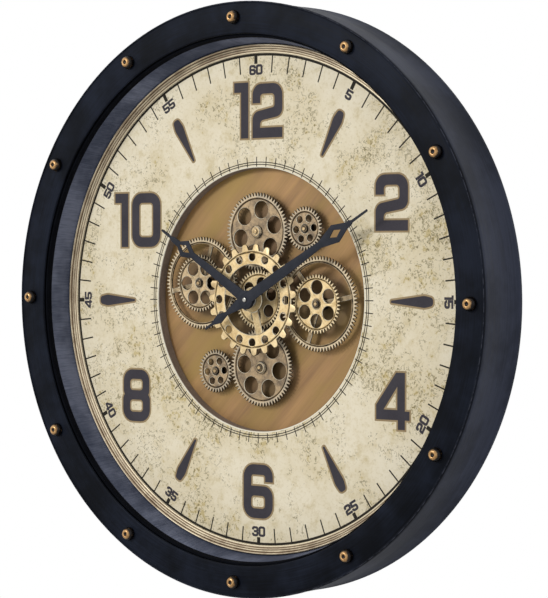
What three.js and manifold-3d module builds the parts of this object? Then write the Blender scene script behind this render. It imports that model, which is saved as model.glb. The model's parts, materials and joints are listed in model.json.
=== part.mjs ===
// Round wall clock with an open train of turning gear wheels in a well behind its hands.
// Millimetres. The dial looks along -Y, +Z is up and +Y points to the wall. The origin is
// the point where the hanging screw carries the clock, in the plane of the wall.
// Depths are measured back from the bezel's front face, and angles run clockwise from
// twelve o'clock as on the dial.
import * as THREE from 'three';
import { mergeVertices } from 'three/addons/utils/BufferGeometryUtils.js';
import Module from 'manifold-3d';

const wasm = await Module();
wasm.setup();

// Fits
const SEAT = 0.3;
const RUNNING = 0.3;

// Overlap that joins two solids of one piece
const WELD = 0.5;

// Case
const CASE_RADIUS = 300;
const CASE_DEPTH = 66.2;
const SHEET = 1.5;
const EDGE_STEP = 0.4;
const REAR_FLANGE = 15;
const BEZEL_WIDTH = 32.6;
const BEZEL_THICK = 2.2;
const BEZEL_ROLL = 0.9;
const STUD_INSET = 15.7;
const STUD_COUNT = 12;
const STUD_RADIUS = 7;
const STUD_SKIRT = 2.2;
const STUD_DOME = 5.4;
const BUMPER_RADIUS = 5.5;
const BUMPER_HEIGHT = 3;
const BUMPER_ANGLE = 38;

// Dial and the walls round it
const LINER_STEP = 7.6;
const LINER_FLARE = 5.7;
const LINER_FRONT = 3.8;
const LINER_FOOT = 12;
const BOARD_THICK = 3.2;
const BOARD_MARGIN = 0.7;
const MOULDING_WIDTH = 8.8;
const MOULDING_RISE = 5;
const LEDGE_WIDTH = 22;
const WELL_MARGIN = 8.7;
const WELL_WALL = 3.6;
const WELL_DEPTH = 11.4;
const PLATE_INSET = 17.6;
const PLATE_THICK = 1;
const PLATE_MARGIN = 8;
const PANEL_INSET = 3.4;
const PANEL_THICK = 1.6;

// Hanger
const HANGER_INSET = 64;
const HANGER_WIDTH = 54;
const HANGER_TALL = 40;
const HANGER_THICK = 1.5;
const KEYHOLE_RADIUS = 6;
const KEYHOLE_SLOT = 6;
const KEYHOLE_RISE = 13;
const KEYHOLE_CLEAR = 13;

// Fine gear wheels: one tooth size runs through the whole train
const MODULE = 1.25;
const ADDENDUM = 0.7;
const TOOTH_HEIGHT = 3.6;
const TOOTH_TIP = 0.9;
const CENTRE_TEETH = 48;
const LARGE_TEETH = 63;
const RIM_TEETH = 76;
const FRONT_TEETH = 47;
const SMALL_TEETH = 35;
const CENTRE_RISE = 10.2;
const CENTRE_THICK = 3.2;
const TRAIN_RISE = 9;
const TRAIN_THICK = 2.4;
const RIM_RISE = 10.2;
const FRONT_WHEEL_RISE = 14.6;
const FRONT_WHEEL_THICK = 2.2;
const TOP_BEARING = -2.3;
const BOTTOM_BEARING = 177.7;
const RIGHT_BEARING = 92.6;
const LEFT_BEARING = -77.9;
const UPPER_SMALL_BEARING = 87.6;
const LOWER_SMALL_BEARING = 264.9;
const RIM_BORE = 41;
const RIM_SPOKE = 5;
const RIM_HUB = 9;
const RIM_BOSS = 8;
const ARBOR_RADIUS = 2.4;
const ARBOR_HEAD = 4;
const ARBOR_CROWN = 3.2;
const ARBOR_HEAD_THICK = 1.4;
const ARBOR_SHOULDER = 3.8;
const ARBOR_FOOT = 6;
const ARBOR_FOOT_THICK = 1.6;
const HUB_RADIUS = 6.8;
const HUB_CROWN = 4.9;
const HUB_RISE = 2.2;
const SHAFT_PROUD = 1.2;
const SHAFT_CHAMFER = 0.8;

// Coarse toothed ring in front of the centre wheel
const RING_TEETH = 23;
const RING_TIP = 57;
const RING_ROOT = 50.5;
const RING_BORE = 36;
const RING_RISE = 20.6;
const RING_THICK = 2;
const RING_PHASE = 5.2;
const RING_TOOTH_BASE = 9;
const RING_TOOTH_TIP = 4.6;
const RING_TOOTH_ROUND = 1.5;
const RING_HOLES = 16;
const RING_HOLE_CIRCLE = 43.6;
const RING_HOLE_RADIUS = 4.2;
const RING_SPOKE = 9;
const RING_SPOKE_ANGLES = [45, 165, 285];
const RING_HUB = 13;

// Hands and their arbors
const MINUTE_LENGTH = 177;
const MINUTE_TAIL = 61;
const MINUTE_ANGLE = 59.8;
const MINUTE_RISE = 2.8;
const HOUR_LENGTH = 135;
const HOUR_ANGLE = 302;
const HOUR_RISE = 8.6;
const HAND_THICK = 1.1;
const HAND_HUB = 9.5;
const HAND_SHOULDER = 38;
const HUB_STEP = 30;
const HAND_NECK = 3.4;
const LOZENGE_HALF = 9.7;
const WINDOW_HALF = 4;
const WINDOW_REACH = 8;
const NEEDLE_HALF = 1.4;
const NEEDLE_TIP = 1.1;
const MINUTE_BELLY = [5.3, 60];
const MINUTE_LOZENGE = { middle: 132, reach: 22, tipReach: 15.4 };
const MINUTE_NEEDLE = 153;
const HOUR_BELLY = [4.9, 38];
const HOUR_LOZENGE = { middle: 98, reach: 13, tipReach: 9.1 };
const HOUR_NEEDLE = 117;
const TAIL_WAIST = 28;
const TAIL_DIAMOND = 39;
const TAIL_DIAMOND_HALF = 5;
const TAIL_NEEDLE = 50;
const MINUTE_ARBOR_RADIUS = 1.5;
const HOUR_PIPE_RADIUS = 2.6;
const BUSHING_RADIUS = 3.8;
const SLEEVE_WALL = 1.6;
const SLEEVE_FLANGE = 10;
const COLLAR_RADIUS = 6.5;
const COLLAR_THICK = 1.6;
const NUT_ACROSS = 12;
const NUT_THICK = 1.9;
const CAP_RADIUS = 2.3;
const CAP_HEIGHT = 1.4;
const CAP_CHAMFER = 0.6;

// Movement and gear motor behind the gear plate
const UNIT_SIZE = 56;
const UNIT_DEPTH = 15;
const UNIT_CORNER = 4;
const UNIT_FLOOR = 1.2;
const BUSHING_ROOT = 3;
const SHAFT_ROOT = 5;
const CUTOUT_ROOM = 1.5;
const CELL_RADIUS = 7.1;
const CELL_LENGTH = 49;
const CELL_EDGE = 0.5;
const CELL_NUB = 1.4;
const CELL_NUB_RADIUS = 2.8;
const CELL_DROP = 17.5;
const KNOB_RADIUS = 7.5;
const KNOB_HEIGHT = 4;
const KNOB_PROUD = 0.6;
const KNOB_ROOM = 1;
const KNOB_X = -16;
const KNOB_Z = 12;
const SWITCH_LENGTH = 5;
const SWITCH_WIDTH = 4;
const SWITCH_WELL = 1.5;
const SWITCH_PROUD = 1;
const SWITCH_TRAVEL = 3;
const SWITCH_X = -14;
const SWITCH_Z = 14;

// Facets
const LARGE_SIDES = 64;
const MIDDLE_SIDES = 40;
const SMALL_SIDES = 12;
const TINY_SIDES = 8;
const ARC_STEPS = 6;
const DOME_STEPS = 3;

const WALL = CASE_DEPTH + BUMPER_HEIGHT;
const BEZEL_BORE = CASE_RADIUS - BEZEL_WIDTH;
const DRUM_RADIUS = CASE_RADIUS - EDGE_STEP;
const DRUM_BORE = DRUM_RADIUS - SHEET;
const LINER_RADIUS = BEZEL_BORE - LINER_STEP;
const HANGER_HEIGHT = CASE_RADIUS - HANGER_INSET;
const PLATE_DEPTH = CASE_DEPTH - PLATE_INSET;
const PLATE_BACK = PLATE_DEPTH + PLATE_THICK;
const DIAL_DEPTH = PLATE_DEPTH - WELL_DEPTH;
const BOARD_BACK = DIAL_DEPTH + BOARD_THICK;
const PANEL_DEPTH = CASE_DEPTH - PANEL_INSET;
const PANEL_BACK = PANEL_DEPTH + PANEL_THICK;
const WELL_RADIUS = MODULE * (CENTRE_TEETH / 2 + RIM_TEETH) + ADDENDUM + WELL_MARGIN;
const CENTRE_FRONT = PLATE_DEPTH - CENTRE_RISE;
const TRAIN_FRONT = PLATE_DEPTH - TRAIN_RISE;
const RIM_FRONT = PLATE_DEPTH - RIM_RISE;
const FRONT_WHEEL_FRONT = PLATE_DEPTH - FRONT_WHEEL_RISE;
const RING_FRONT = PLATE_DEPTH - RING_RISE;
const HOUR_DEPTH = RING_FRONT - HOUR_RISE;
const MINUTE_DEPTH = HOUR_DEPTH - MINUTE_RISE;
const UNIT_FRONT = PLATE_BACK + SEAT;
const UNIT_BACK = UNIT_FRONT + UNIT_DEPTH;
const SLEEVE_BORE = BUSHING_RADIUS + RUNNING;
const SLEEVE_RADIUS = SLEEVE_BORE + SLEEVE_WALL;

const clock = new THREE.Group();
clock.position.set(0, -WALL, -HANGER_HEIGHT);

const radians = (degrees) => (degrees * Math.PI) / 180;
const pitchRadius = (teeth) => (MODULE * teeth) / 2;
const tipRadius = (teeth) => pitchRadius(teeth) + ADDENDUM;

/** The point at a radius and a clock angle, in the plane of the dial. */
function dialPoint(radius, angle, centre = [0, 0]) {
  return [centre[0] + radius * Math.sin(radians(angle)), centre[1] + radius * Math.cos(radians(angle))];
}

/** The centre of a wheel in mesh with another, at a clock angle from it. */
function meshedCentre(centre, teeth, otherTeeth, bearing) {
  return dialPoint(pitchRadius(teeth) + pitchRadius(otherTeeth), bearing, centre);
}

/** The tooth angle that lets a wheel mesh with one whose tooth angle is known. */
function meshedPhase(teeth, bearing, drivenBy) {
  const driverPitch = 360 / drivenBy.teeth;
  const pitch = 360 / teeth;
  const driverShare = (bearing - drivenBy.phase) / driverPitch;
  return bearing + 180 - pitch * (0.5 - driverShare);
}

/** Merges a geometry's shared vertices and drops its empty triangles. */
function welded(geometry) {
  const bare = new THREE.BufferGeometry();
  bare.setAttribute('position', geometry.getAttribute('position'));
  if (geometry.index) bare.setIndex(geometry.index);
  const merged = mergeVertices(bare, 1e-4);
  const index = merged.index.array;
  const kept = [];
  for (let i = 0; i < index.length; i += 3) {
    const [a, b, c] = [index[i], index[i + 1], index[i + 2]];
    if (a !== b && b !== c && c !== a) kept.push(a, b, c);
  }
  merged.setIndex(kept);
  return merged;
}

/** A geometry as a solid that can be joined and cut. */
function solid(geometry) {
  const mesh = welded(geometry);
  const vertProperties = new Float32Array(mesh.getAttribute('position').array);
  const triVerts = new Uint32Array(mesh.index.array);
  return new wasm.Manifold(new wasm.Mesh({ numProp: 3, vertProperties, triVerts }));
}

/** A joined or cut solid as a geometry. */
function geometryOf(body) {
  const mesh = body.getMesh();
  const geometry = new THREE.BufferGeometry();
  geometry.setAttribute('position', new THREE.BufferAttribute(mesh.vertProperties, 3));
  geometry.setIndex(new THREE.BufferAttribute(mesh.triVerts, 1));
  return geometry;
}

function joined(...parts) {
  return geometryOf(parts.map(solid).reduce((whole, next) => whole.add(next)));
}

function cut(geometry, ...tools) {
  return geometryOf(tools.map(solid).reduce((whole, tool) => whole.subtract(tool), solid(geometry)));
}

/** Turns a profile of [radius, depth] points round the clock's axis. */
function revolve(profile, sides, closed = true) {
  const points = profile.map(([radius, depth]) => new THREE.Vector2(radius, depth));
  const area = THREE.ShapeUtils.area(points);
  if (area < 0) points.reverse();
  if (closed) points.push(points[0].clone());
  return new THREE.LatheGeometry(points, sides);
}

/** A turned solid whose profile starts and ends on its axis. */
function turned(profile, sides) {
  return revolve(profile, sides, false);
}

/** A flat ring between two radii and two depths. */
function ring(bore, radius, front, back, sides) {
  return revolve([[bore, front], [radius, front], [radius, back], [bore, back]], sides);
}

/** A round bar or disc between two depths. */
function disc(radius, front, back, sides) {
  return turned([[0, front], [radius, front], [radius, back], [0, back]], sides);
}

/** Cuts a flat outline out of plate, from a front depth to a back depth. */
function plate(shape, front, back) {
  const outline = shape.getPoints();
  if (THREE.ShapeUtils.isClockWise(outline)) outline.reverse();
  const sheet = new THREE.Shape(outline);
  sheet.holes = shape.holes;
  const geometry = new THREE.ExtrudeGeometry(sheet, { depth: back - front, bevelEnabled: false });
  return geometry.rotateX(Math.PI / 2).translate(0, back, 0);
}

const vectors = (points) => points.map(([x, z]) => new THREE.Vector2(x, z));

/** A closed polygon of points on a circle, as a hole or an outline. */
function circle(centre, radius, sides) {
  const corners = Array.from({ length: sides }, (_, i) => dialPoint(radius, (i * 360) / sides, centre));
  return vectors(corners);
}

function holesIn(shape, count, circleRadius, holeRadius, firstAngle, sides) {
  for (let i = 0; i < count; i += 1) {
    const centre = dialPoint(circleRadius, firstAngle + (i * 360) / count);
    shape.holes.push(new THREE.Path(circle(centre, holeRadius, sides)));
  }
}

/** The toothed outline of a fine gear wheel with one tooth at the given angle. */
function toothedOutline(teeth, phase) {
  const tip = tipRadius(teeth);
  const root = tip - TOOTH_HEIGHT;
  const pitch = 360 / teeth;
  const halfTip = THREE.MathUtils.radToDeg(TOOTH_TIP / 2 / tip);
  const points = [];
  for (let i = 0; i < teeth; i += 1) {
    const middle = phase + i * pitch;
    points.push(dialPoint(tip, middle - halfTip));
    points.push(dialPoint(tip, middle + halfTip));
    points.push(dialPoint(root, middle + pitch / 2));
  }
  return new THREE.Shape(vectors(points));
}

/** A fine gear wheel pierced by a circle of round windows, with a bore. */
function piercedWheel({ teeth, phase, front, thick, bore, windows }) {
  const shape = toothedOutline(teeth, phase);
  shape.holes.push(new THREE.Path(circle([0, 0], bore, SMALL_SIDES)));
  holesIn(shape, windows.count, windows.circle, windows.radius, windows.angle, windows.sides);
  return plate(shape, front, front + thick);
}

/** A sector-shaped window between two spokes whose sides stay parallel. */
function spokeWindow(inner, outer, spokeWidth, fromAngle, toAngle, steps) {
  const edge = (radius) => THREE.MathUtils.radToDeg(Math.asin(spokeWidth / 2 / radius));
  const arc = (radius, start, end) => Array.from({ length: steps + 1 }, (_, i) => (
    dialPoint(radius, start + ((end - start) * i) / steps)
  ));
  return new THREE.Path(vectors([
    ...arc(outer, fromAngle + edge(outer), toAngle - edge(outer)),
    ...arc(inner, toAngle - edge(inner), fromAngle + edge(inner)),
  ]));
}

function cutSpokes(shape, inner, outer, spokeWidth, angles, steps) {
  angles.forEach((angle, i) => {
    const next = i + 1 < angles.length ? angles[i + 1] : angles[0] + 360;
    shape.holes.push(spokeWindow(inner, outer, spokeWidth, angle, next, steps));
  });
}

/** A thin toothed rim on three spokes, with a hub that carries the wheel in front of it. */
function rimWheel(phase, spokeAngles) {
  const shape = toothedOutline(RIM_TEETH, phase);
  shape.holes.push(new THREE.Path(circle([0, 0], ARBOR_RADIUS + RUNNING, SMALL_SIDES)));
  cutSpokes(shape, RIM_HUB, RIM_BORE, RIM_SPOKE, spokeAngles, ARC_STEPS);
  const body = plate(shape, RIM_FRONT, RIM_FRONT + TRAIN_THICK);
  const bossFront = FRONT_WHEEL_FRONT + FRONT_WHEEL_THICK + SEAT;
  const boss = ring(ARBOR_RADIUS + RUNNING, RIM_BOSS, bossFront, RIM_FRONT + WELD, SMALL_SIDES);
  return joined(body, boss);
}

/** The coarse ring: wide teeth with rounded tips, a circle of holes and three spokes. */
function toothedRing() {
  const points = [];
  const pitch = 360 / RING_TEETH;
  const half = (width, radius) => THREE.MathUtils.radToDeg(width / 2 / radius);
  const shoulder = RING_TIP - RING_TOOTH_ROUND;
  for (let i = 0; i < RING_TEETH; i += 1) {
    const middle = RING_PHASE + i * pitch;
    points.push(dialPoint(RING_ROOT, middle - half(RING_TOOTH_BASE, RING_ROOT)));
    points.push(dialPoint(shoulder, middle - half(RING_TOOTH_TIP, shoulder)));
    points.push(dialPoint(RING_TIP, middle - half(RING_TOOTH_TIP / 2, RING_TIP)));
    points.push(dialPoint(RING_TIP, middle + half(RING_TOOTH_TIP / 2, RING_TIP)));
    points.push(dialPoint(shoulder, middle + half(RING_TOOTH_TIP, shoulder)));
    points.push(dialPoint(RING_ROOT, middle + half(RING_TOOTH_BASE, RING_ROOT)));
  }
  const shape = new THREE.Shape(vectors(points));
  holesIn(shape, RING_HOLES, RING_HOLE_CIRCLE, RING_HOLE_RADIUS, 0, TINY_SIDES);
  shape.holes.push(new THREE.Path(circle([0, 0], SLEEVE_BORE, SMALL_SIDES)));
  cutSpokes(shape, RING_HUB, RING_BORE, RING_SPOKE, RING_SPOKE_ANGLES, ARC_STEPS);
  return plate(shape, RING_FRONT, RING_FRONT + RING_THICK);
}

/** A hand pointing at twelve: round hub, tapered bar, pierced lozenge and needle point. */
function handShape({ length, belly, lozenge, needleStart, tail, bore }) {
  const right = [
    dialPoint(HAND_HUB, HAND_SHOULDER), belly, [HAND_NECK, lozenge.middle - lozenge.reach],
    [LOZENGE_HALF, lozenge.middle], [HAND_NECK, lozenge.middle + lozenge.tipReach],
    [2 * NEEDLE_HALF, needleStart], [NEEDLE_HALF, needleStart + 2 * NEEDLE_HALF],
    [NEEDLE_TIP, length],
  ];
  const left = right.map(([x, z]) => [-x, z]).reverse();
  const outline = new THREE.Shape(vectors([...right, ...left, ...tail]));
  outline.holes.push(new THREE.Path(circle([0, 0], bore, SMALL_SIDES)));
  outline.holes.push(new THREE.Path(vectors([
    [0, lozenge.middle - WINDOW_REACH], [WINDOW_HALF, lozenge.middle],
    [0, lozenge.middle + WINDOW_REACH], [-WINDOW_HALF, lozenge.middle],
  ])));
  return outline;
}

/** Points round a hand's hub, from one clock angle to another. */
function hubArc(from, to, steps) {
  return Array.from({ length: steps + 1 }, (_, i) => dialPoint(HAND_HUB, from + ((to - from) * i) / steps));
}

/** The minute hand's counterweight: a waist, a small diamond and a short needle. */
function minuteTail() {
  const left = [
    [-0.6 * HAND_NECK, -TAIL_WAIST], [-TAIL_DIAMOND_HALF, -TAIL_DIAMOND], [-NEEDLE_HALF, -TAIL_NEEDLE],
    [-NEEDLE_TIP, -MINUTE_TAIL],
  ];
  const right = left.map(([x, z]) => [-x, z]).reverse();
  const side = 180 - HAND_SHOULDER;
  return [
    ...hubArc(-HAND_SHOULDER - HUB_STEP, -side, 3), ...left,
    ...right, ...hubArc(side, HAND_SHOULDER + HUB_STEP, 3),
  ];
}

function minuteHand() {
  const shape = handShape({
    length: MINUTE_LENGTH, belly: MINUTE_BELLY, lozenge: MINUTE_LOZENGE, needleStart: MINUTE_NEEDLE,
    tail: minuteTail(), bore: MINUTE_ARBOR_RADIUS + SEAT,
  });
  return plate(shape, MINUTE_DEPTH, MINUTE_DEPTH + HAND_THICK);
}

function hourHand() {
  const start = HAND_SHOULDER + HUB_STEP;
  const shape = handShape({
    length: HOUR_LENGTH, belly: HOUR_BELLY, lozenge: HOUR_LOZENGE, needleStart: HOUR_NEEDLE,
    tail: hubArc(-start, start - 360, TINY_SIDES), bore: HOUR_PIPE_RADIUS + SEAT,
  });
  return plate(shape, HOUR_DEPTH, HOUR_DEPTH + HAND_THICK);
}

/** A square moulded housing with rounded corners and a battery bay, open at the back. */
function unitHousing(...recesses) {
  const inner = UNIT_SIZE / 2 - UNIT_CORNER;
  const corners = [[inner, inner, 0], [inner, -inner, 90], [-inner, -inner, 180], [-inner, inner, 270]];
  const outline = corners.flatMap(([x, z, angle]) => (
    [0, 45, 90].map((turn) => dialPoint(UNIT_CORNER, angle + turn, [x, z]))
  ));
  const block = plate(new THREE.Shape(vectors(outline)), UNIT_FRONT, UNIT_BACK);
  const bayLength = CELL_LENGTH + 2 * CELL_NUB + 2 * SEAT;
  const bay = new THREE.BoxGeometry(bayLength, UNIT_DEPTH, 2 * (CELL_RADIUS + SEAT));
  bay.translate(0, UNIT_FRONT + UNIT_FLOOR + UNIT_DEPTH / 2, -CELL_DROP);
  return cut(block, bay, ...recesses);
}

/** A round dry cell lying across the lower part of a housing. */
function dryCell() {
  const half = CELL_LENGTH / 2;
  const profile = [
    [0, -half], [CELL_RADIUS, -half], [CELL_RADIUS, half - CELL_EDGE], [CELL_RADIUS - CELL_EDGE, half],
    [CELL_NUB_RADIUS, half], [CELL_NUB_RADIUS, half + CELL_NUB], [0, half + CELL_NUB],
  ];
  const depth = UNIT_FRONT + UNIT_FLOOR + SEAT + CELL_RADIUS;
  return turned(profile, SMALL_SIDES).rotateZ(-Math.PI / 2).translate(0, depth, -CELL_DROP);
}

/** A fixed arbor: foot on the gear plate, shoulder behind the wheel, stem and head in front. */
function arbor(front, shoulderFront) {
  const foot = PLATE_DEPTH - SEAT;
  const headBack = front - SEAT;
  return turned([
    [0, foot], [ARBOR_FOOT, foot], [ARBOR_FOOT, foot - ARBOR_FOOT_THICK],
    [ARBOR_SHOULDER, foot - ARBOR_FOOT_THICK], [ARBOR_SHOULDER, shoulderFront],
    [ARBOR_RADIUS, shoulderFront], [ARBOR_RADIUS, headBack], [ARBOR_HEAD, headBack],
    [ARBOR_CROWN, headBack - ARBOR_HEAD_THICK], [0, headBack - ARBOR_HEAD_THICK],
  ], TINY_SIDES);
}

/** A stepped collar pressed on the front of a large wheel. */
function wheelHub(bore) {
  const back = TRAIN_FRONT - SEAT;
  return revolve([
    [bore, back], [HUB_RADIUS, back], [HUB_RADIUS, back - HUB_RISE / 2],
    [HUB_CROWN, back - HUB_RISE], [bore, back - HUB_RISE],
  ], SMALL_SIDES);
}

/** A round-headed brass stud that stands on the bezel. */
function stud() {
  const dome = Array.from({ length: DOME_STEPS }, (_, i) => {
    const rise = radians((i * 90) / DOME_STEPS);
    return [STUD_RADIUS * Math.cos(rise), -STUD_SKIRT - STUD_DOME * Math.sin(rise)];
  });
  return turned([[0, -SEAT], [STUD_RADIUS, -SEAT], ...dome, [0, -STUD_SKIRT - STUD_DOME]], TINY_SIDES);
}

function frontBezel() {
  return revolve([
    [BEZEL_BORE, BEZEL_ROLL], [BEZEL_BORE + BEZEL_ROLL, 0], [CASE_RADIUS - BEZEL_ROLL, 0],
    [CASE_RADIUS, BEZEL_ROLL], [CASE_RADIUS, BEZEL_THICK], [BEZEL_BORE, BEZEL_THICK],
  ], LARGE_SIDES);
}

function caseDrum() {
  const front = BEZEL_THICK + SEAT;
  const flangeBore = DRUM_RADIUS - REAR_FLANGE;
  return revolve([
    [DRUM_BORE, front], [DRUM_RADIUS, front], [DRUM_RADIUS, CASE_DEPTH], [flangeBore, CASE_DEPTH],
    [flangeBore, CASE_DEPTH - SHEET], [DRUM_BORE, CASE_DEPTH - SHEET],
  ], LARGE_SIDES);
}

/** The wall between bezel and dial, a sheet cone that opens towards the front. */
function innerLiner() {
  const back = DIAL_DEPTH - SEAT;
  const mouth = LINER_RADIUS + LINER_FLARE;
  const outer = LINER_RADIUS + SHEET;
  return revolve([
    [mouth, LINER_FRONT], [mouth + SHEET, LINER_FRONT], [outer, back - SHEET],
    [outer + LINER_FOOT, back - SHEET], [outer + LINER_FOOT, back], [LINER_RADIUS, back],
  ], MIDDLE_SIDES);
}

/** The gilt moulding at the edge of the dial, in two steps that rise to the wall. */
function dialMoulding() {
  const outer = LINER_RADIUS - SEAT;
  const back = DIAL_DEPTH - SEAT;
  const waist = outer - MOULDING_WIDTH / 2;
  return revolve([
    [outer, back], [outer, back - MOULDING_RISE], [waist, back - MOULDING_RISE * 0.75],
    [waist, back - MOULDING_RISE * 0.45], [outer - MOULDING_WIDTH, back - MOULDING_RISE * 0.2],
    [outer - MOULDING_WIDTH, back],
  ], MIDDLE_SIDES);
}

function boardLedge() {
  const outer = DRUM_BORE - BOARD_MARGIN;
  const front = BOARD_BACK + SEAT;
  const back = PANEL_DEPTH - SEAT;
  return revolve([
    [outer - LEDGE_WIDTH, front], [outer, front], [outer, back], [outer - SHEET, back],
    [outer - SHEET, front + SHEET], [outer - LEDGE_WIDTH, front + SHEET],
  ], MIDDLE_SIDES);
}

/** A round plate with square cut-outs and round holes. */
function roundPlate(radius, front, back, sides, squares, rounds) {
  const shape = new THREE.Shape(circle([0, 0], radius, sides));
  squares.forEach(({ at, size }) => {
    const half = size / 2;
    const corners = [[half, half], [half, -half], [-half, -half], [-half, half]];
    shape.holes.push(new THREE.Path(vectors(corners.map(([x, z]) => [at[0] + x, at[1] + z]))));
  });
  rounds.forEach(({ at, size }) => shape.holes.push(new THREE.Path(circle(at, size, SMALL_SIDES))));
  return plate(shape, front, back);
}

/** The keyhole plate: a round entry below a narrow slot that rises to the hanging point. */
function hangerPlate() {
  const half = HANGER_WIDTH / 2;
  const top = HANGER_HEIGHT + HANGER_TALL / 2;
  const bottom = top - HANGER_TALL;
  const shape = new THREE.Shape(vectors([[-half, bottom], [half, bottom], [half, top], [-half, top]]));
  const slot = KEYHOLE_SLOT / 2;
  const entry = HANGER_HEIGHT - KEYHOLE_RISE;
  const reach = Math.sqrt(KEYHOLE_RADIUS ** 2 - slot ** 2);
  const bowl = [45, 90, 135, 180, 225, 270, 315].map((angle) => (
    dialPoint(KEYHOLE_RADIUS, angle, [0, entry])
  ));
  shape.holes.push(new THREE.Path(vectors([
    [-slot, entry + reach], [-slot, HANGER_HEIGHT], [-slot / 2, HANGER_HEIGHT + slot * 0.8],
    [slot / 2, HANGER_HEIGHT + slot * 0.8], [slot, HANGER_HEIGHT], [slot, entry + reach], ...bowl,
  ])));
  const front = PANEL_BACK + SEAT;
  return plate(shape, front, front + HANGER_THICK);
}

/** A knurled cap over the end of the minute arbor. */
function handNut() {
  return turned([
    [0, MINUTE_DEPTH - SEAT], [CAP_RADIUS, MINUTE_DEPTH - SEAT],
    [CAP_RADIUS, MINUTE_DEPTH - CAP_HEIGHT + CAP_CHAMFER],
    [CAP_RADIUS - CAP_CHAMFER, MINUTE_DEPTH - CAP_HEIGHT],
    [0, MINUTE_DEPTH - CAP_HEIGHT],
  ], SMALL_SIDES);
}

const finish = (color, roughness, metalness) => (
  new THREE.MeshStandardMaterial({ color, roughness, metalness })
);
const finishes = {
  black: finish(0x1c1f28, 0.45, 0.6),
  drum: finish(0x33353d, 0.5, 0.6),
  liner: finish(0x4a4c56, 0.55, 0.5),
  gilt: finish(0xa98f5e, 0.4, 0.8),
  dial: finish(0xdcd6b8, 0.8, 0),
  plate: finish(0xae8b55, 0.4, 0.9),
  light: finish(0xd8bd86, 0.4, 0.9),
  bronze: finish(0x8a7862, 0.45, 0.9),
  stud: finish(0xa77a3c, 0.35, 0.9),
  hand: finish(0x252a36, 0.5, 0.4),
  steel: finish(0xb9bcc0, 0.3, 1),
  plastic: finish(0x1b1b1d, 0.6, 0),
  board: finish(0x3a3128, 0.8, 0),
  rubber: finish(0x151515, 0.9, 0),
  cell: finish(0x7c7f86, 0.4, 0.7),
};

/** Adds one named piece to the clock, at a place in the plane of the dial. */
function add(name, geometry, material, at = [0, 0], turn = 0) {
  const mesh = new THREE.Mesh(welded(geometry), material.clone());
  mesh.name = name;
  mesh.position.set(at[0], 0, at[1]);
  mesh.rotation.y = radians(turn);
  clock.add(mesh);
}

// Wheel places and tooth angles, worked out from the tooth counts
const centreWheel = { teeth: CENTRE_TEETH, phase: 0, at: [0, 0] };
const meshedWheel = (teeth, bearing, driver) => ({
  teeth,
  at: meshedCentre(driver.at, teeth, driver.teeth, bearing),
  phase: meshedPhase(teeth, bearing, driver),
});
const topWheel = meshedWheel(LARGE_TEETH, TOP_BEARING, centreWheel);
const bottomWheel = meshedWheel(LARGE_TEETH, BOTTOM_BEARING, centreWheel);
const rightRim = meshedWheel(RIM_TEETH, RIGHT_BEARING, centreWheel);
const leftRim = meshedWheel(RIM_TEETH, LEFT_BEARING, centreWheel);
const upperSmall = meshedWheel(SMALL_TEETH, UPPER_SMALL_BEARING, topWheel);
const lowerSmall = meshedWheel(SMALL_TEETH, LOWER_SMALL_BEARING, bottomWheel);

// Case
add('case_drum', caseDrum(), finishes.drum);
add('front_bezel', frontBezel(), finishes.black);
for (let i = 0; i < STUD_COUNT; i += 1) {
  const name = `bezel_stud_${String(i + 1).padStart(2, '0')}`;
  add(name, stud(), finishes.stud, dialPoint(CASE_RADIUS - STUD_INSET, (i * 360) / STUD_COUNT));
}
add('inner_liner', innerLiner(), finishes.liner);
add('dial_moulding', dialMoulding(), finishes.gilt);
const boardRadius = DRUM_BORE - BOARD_MARGIN;
add('dial_board', ring(WELL_RADIUS, boardRadius, DIAL_DEPTH, BOARD_BACK, MIDDLE_SIDES), finishes.dial);
add('board_ledge', boardLedge(), finishes.drum);
add('gear_well_ring', ring(
  WELL_RADIUS, WELL_RADIUS + WELL_WALL, BOARD_BACK + SEAT, PLATE_DEPTH - SEAT, MIDDLE_SIDES,
), finishes.liner);
const plateHoles = [
  { at: [0, 0], size: BUSHING_RADIUS + SEAT },
  { at: topWheel.at, size: ARBOR_RADIUS + RUNNING },
];
add('gear_plate', roundPlate(
  WELL_RADIUS + WELL_WALL + PLATE_MARGIN, PLATE_DEPTH, PLATE_BACK, MIDDLE_SIDES, [], plateHoles,
), finishes.plate);
const cutout = UNIT_SIZE + 2 * CUTOUT_ROOM;
add('rear_panel', roundPlate(
  boardRadius, PANEL_DEPTH, PANEL_BACK, MIDDLE_SIDES,
  [{ at: [0, 0], size: cutout }, { at: topWheel.at, size: cutout }],
  [{ at: [0, HANGER_HEIGHT - KEYHOLE_RISE / 2], size: KEYHOLE_CLEAR }],
), finishes.board);
add('keyhole_hanger', hangerPlate(), finishes.steel);
[['left', 180 + BUMPER_ANGLE], ['right', 180 - BUMPER_ANGLE]].forEach(([side, angle]) => {
  const at = dialPoint(DRUM_RADIUS - REAR_FLANGE / 2, angle);
  add(`wall_bumper_${side}`, disc(BUMPER_RADIUS, CASE_DEPTH + SEAT, WALL, SMALL_SIDES), finishes.rubber, at);
});

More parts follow.
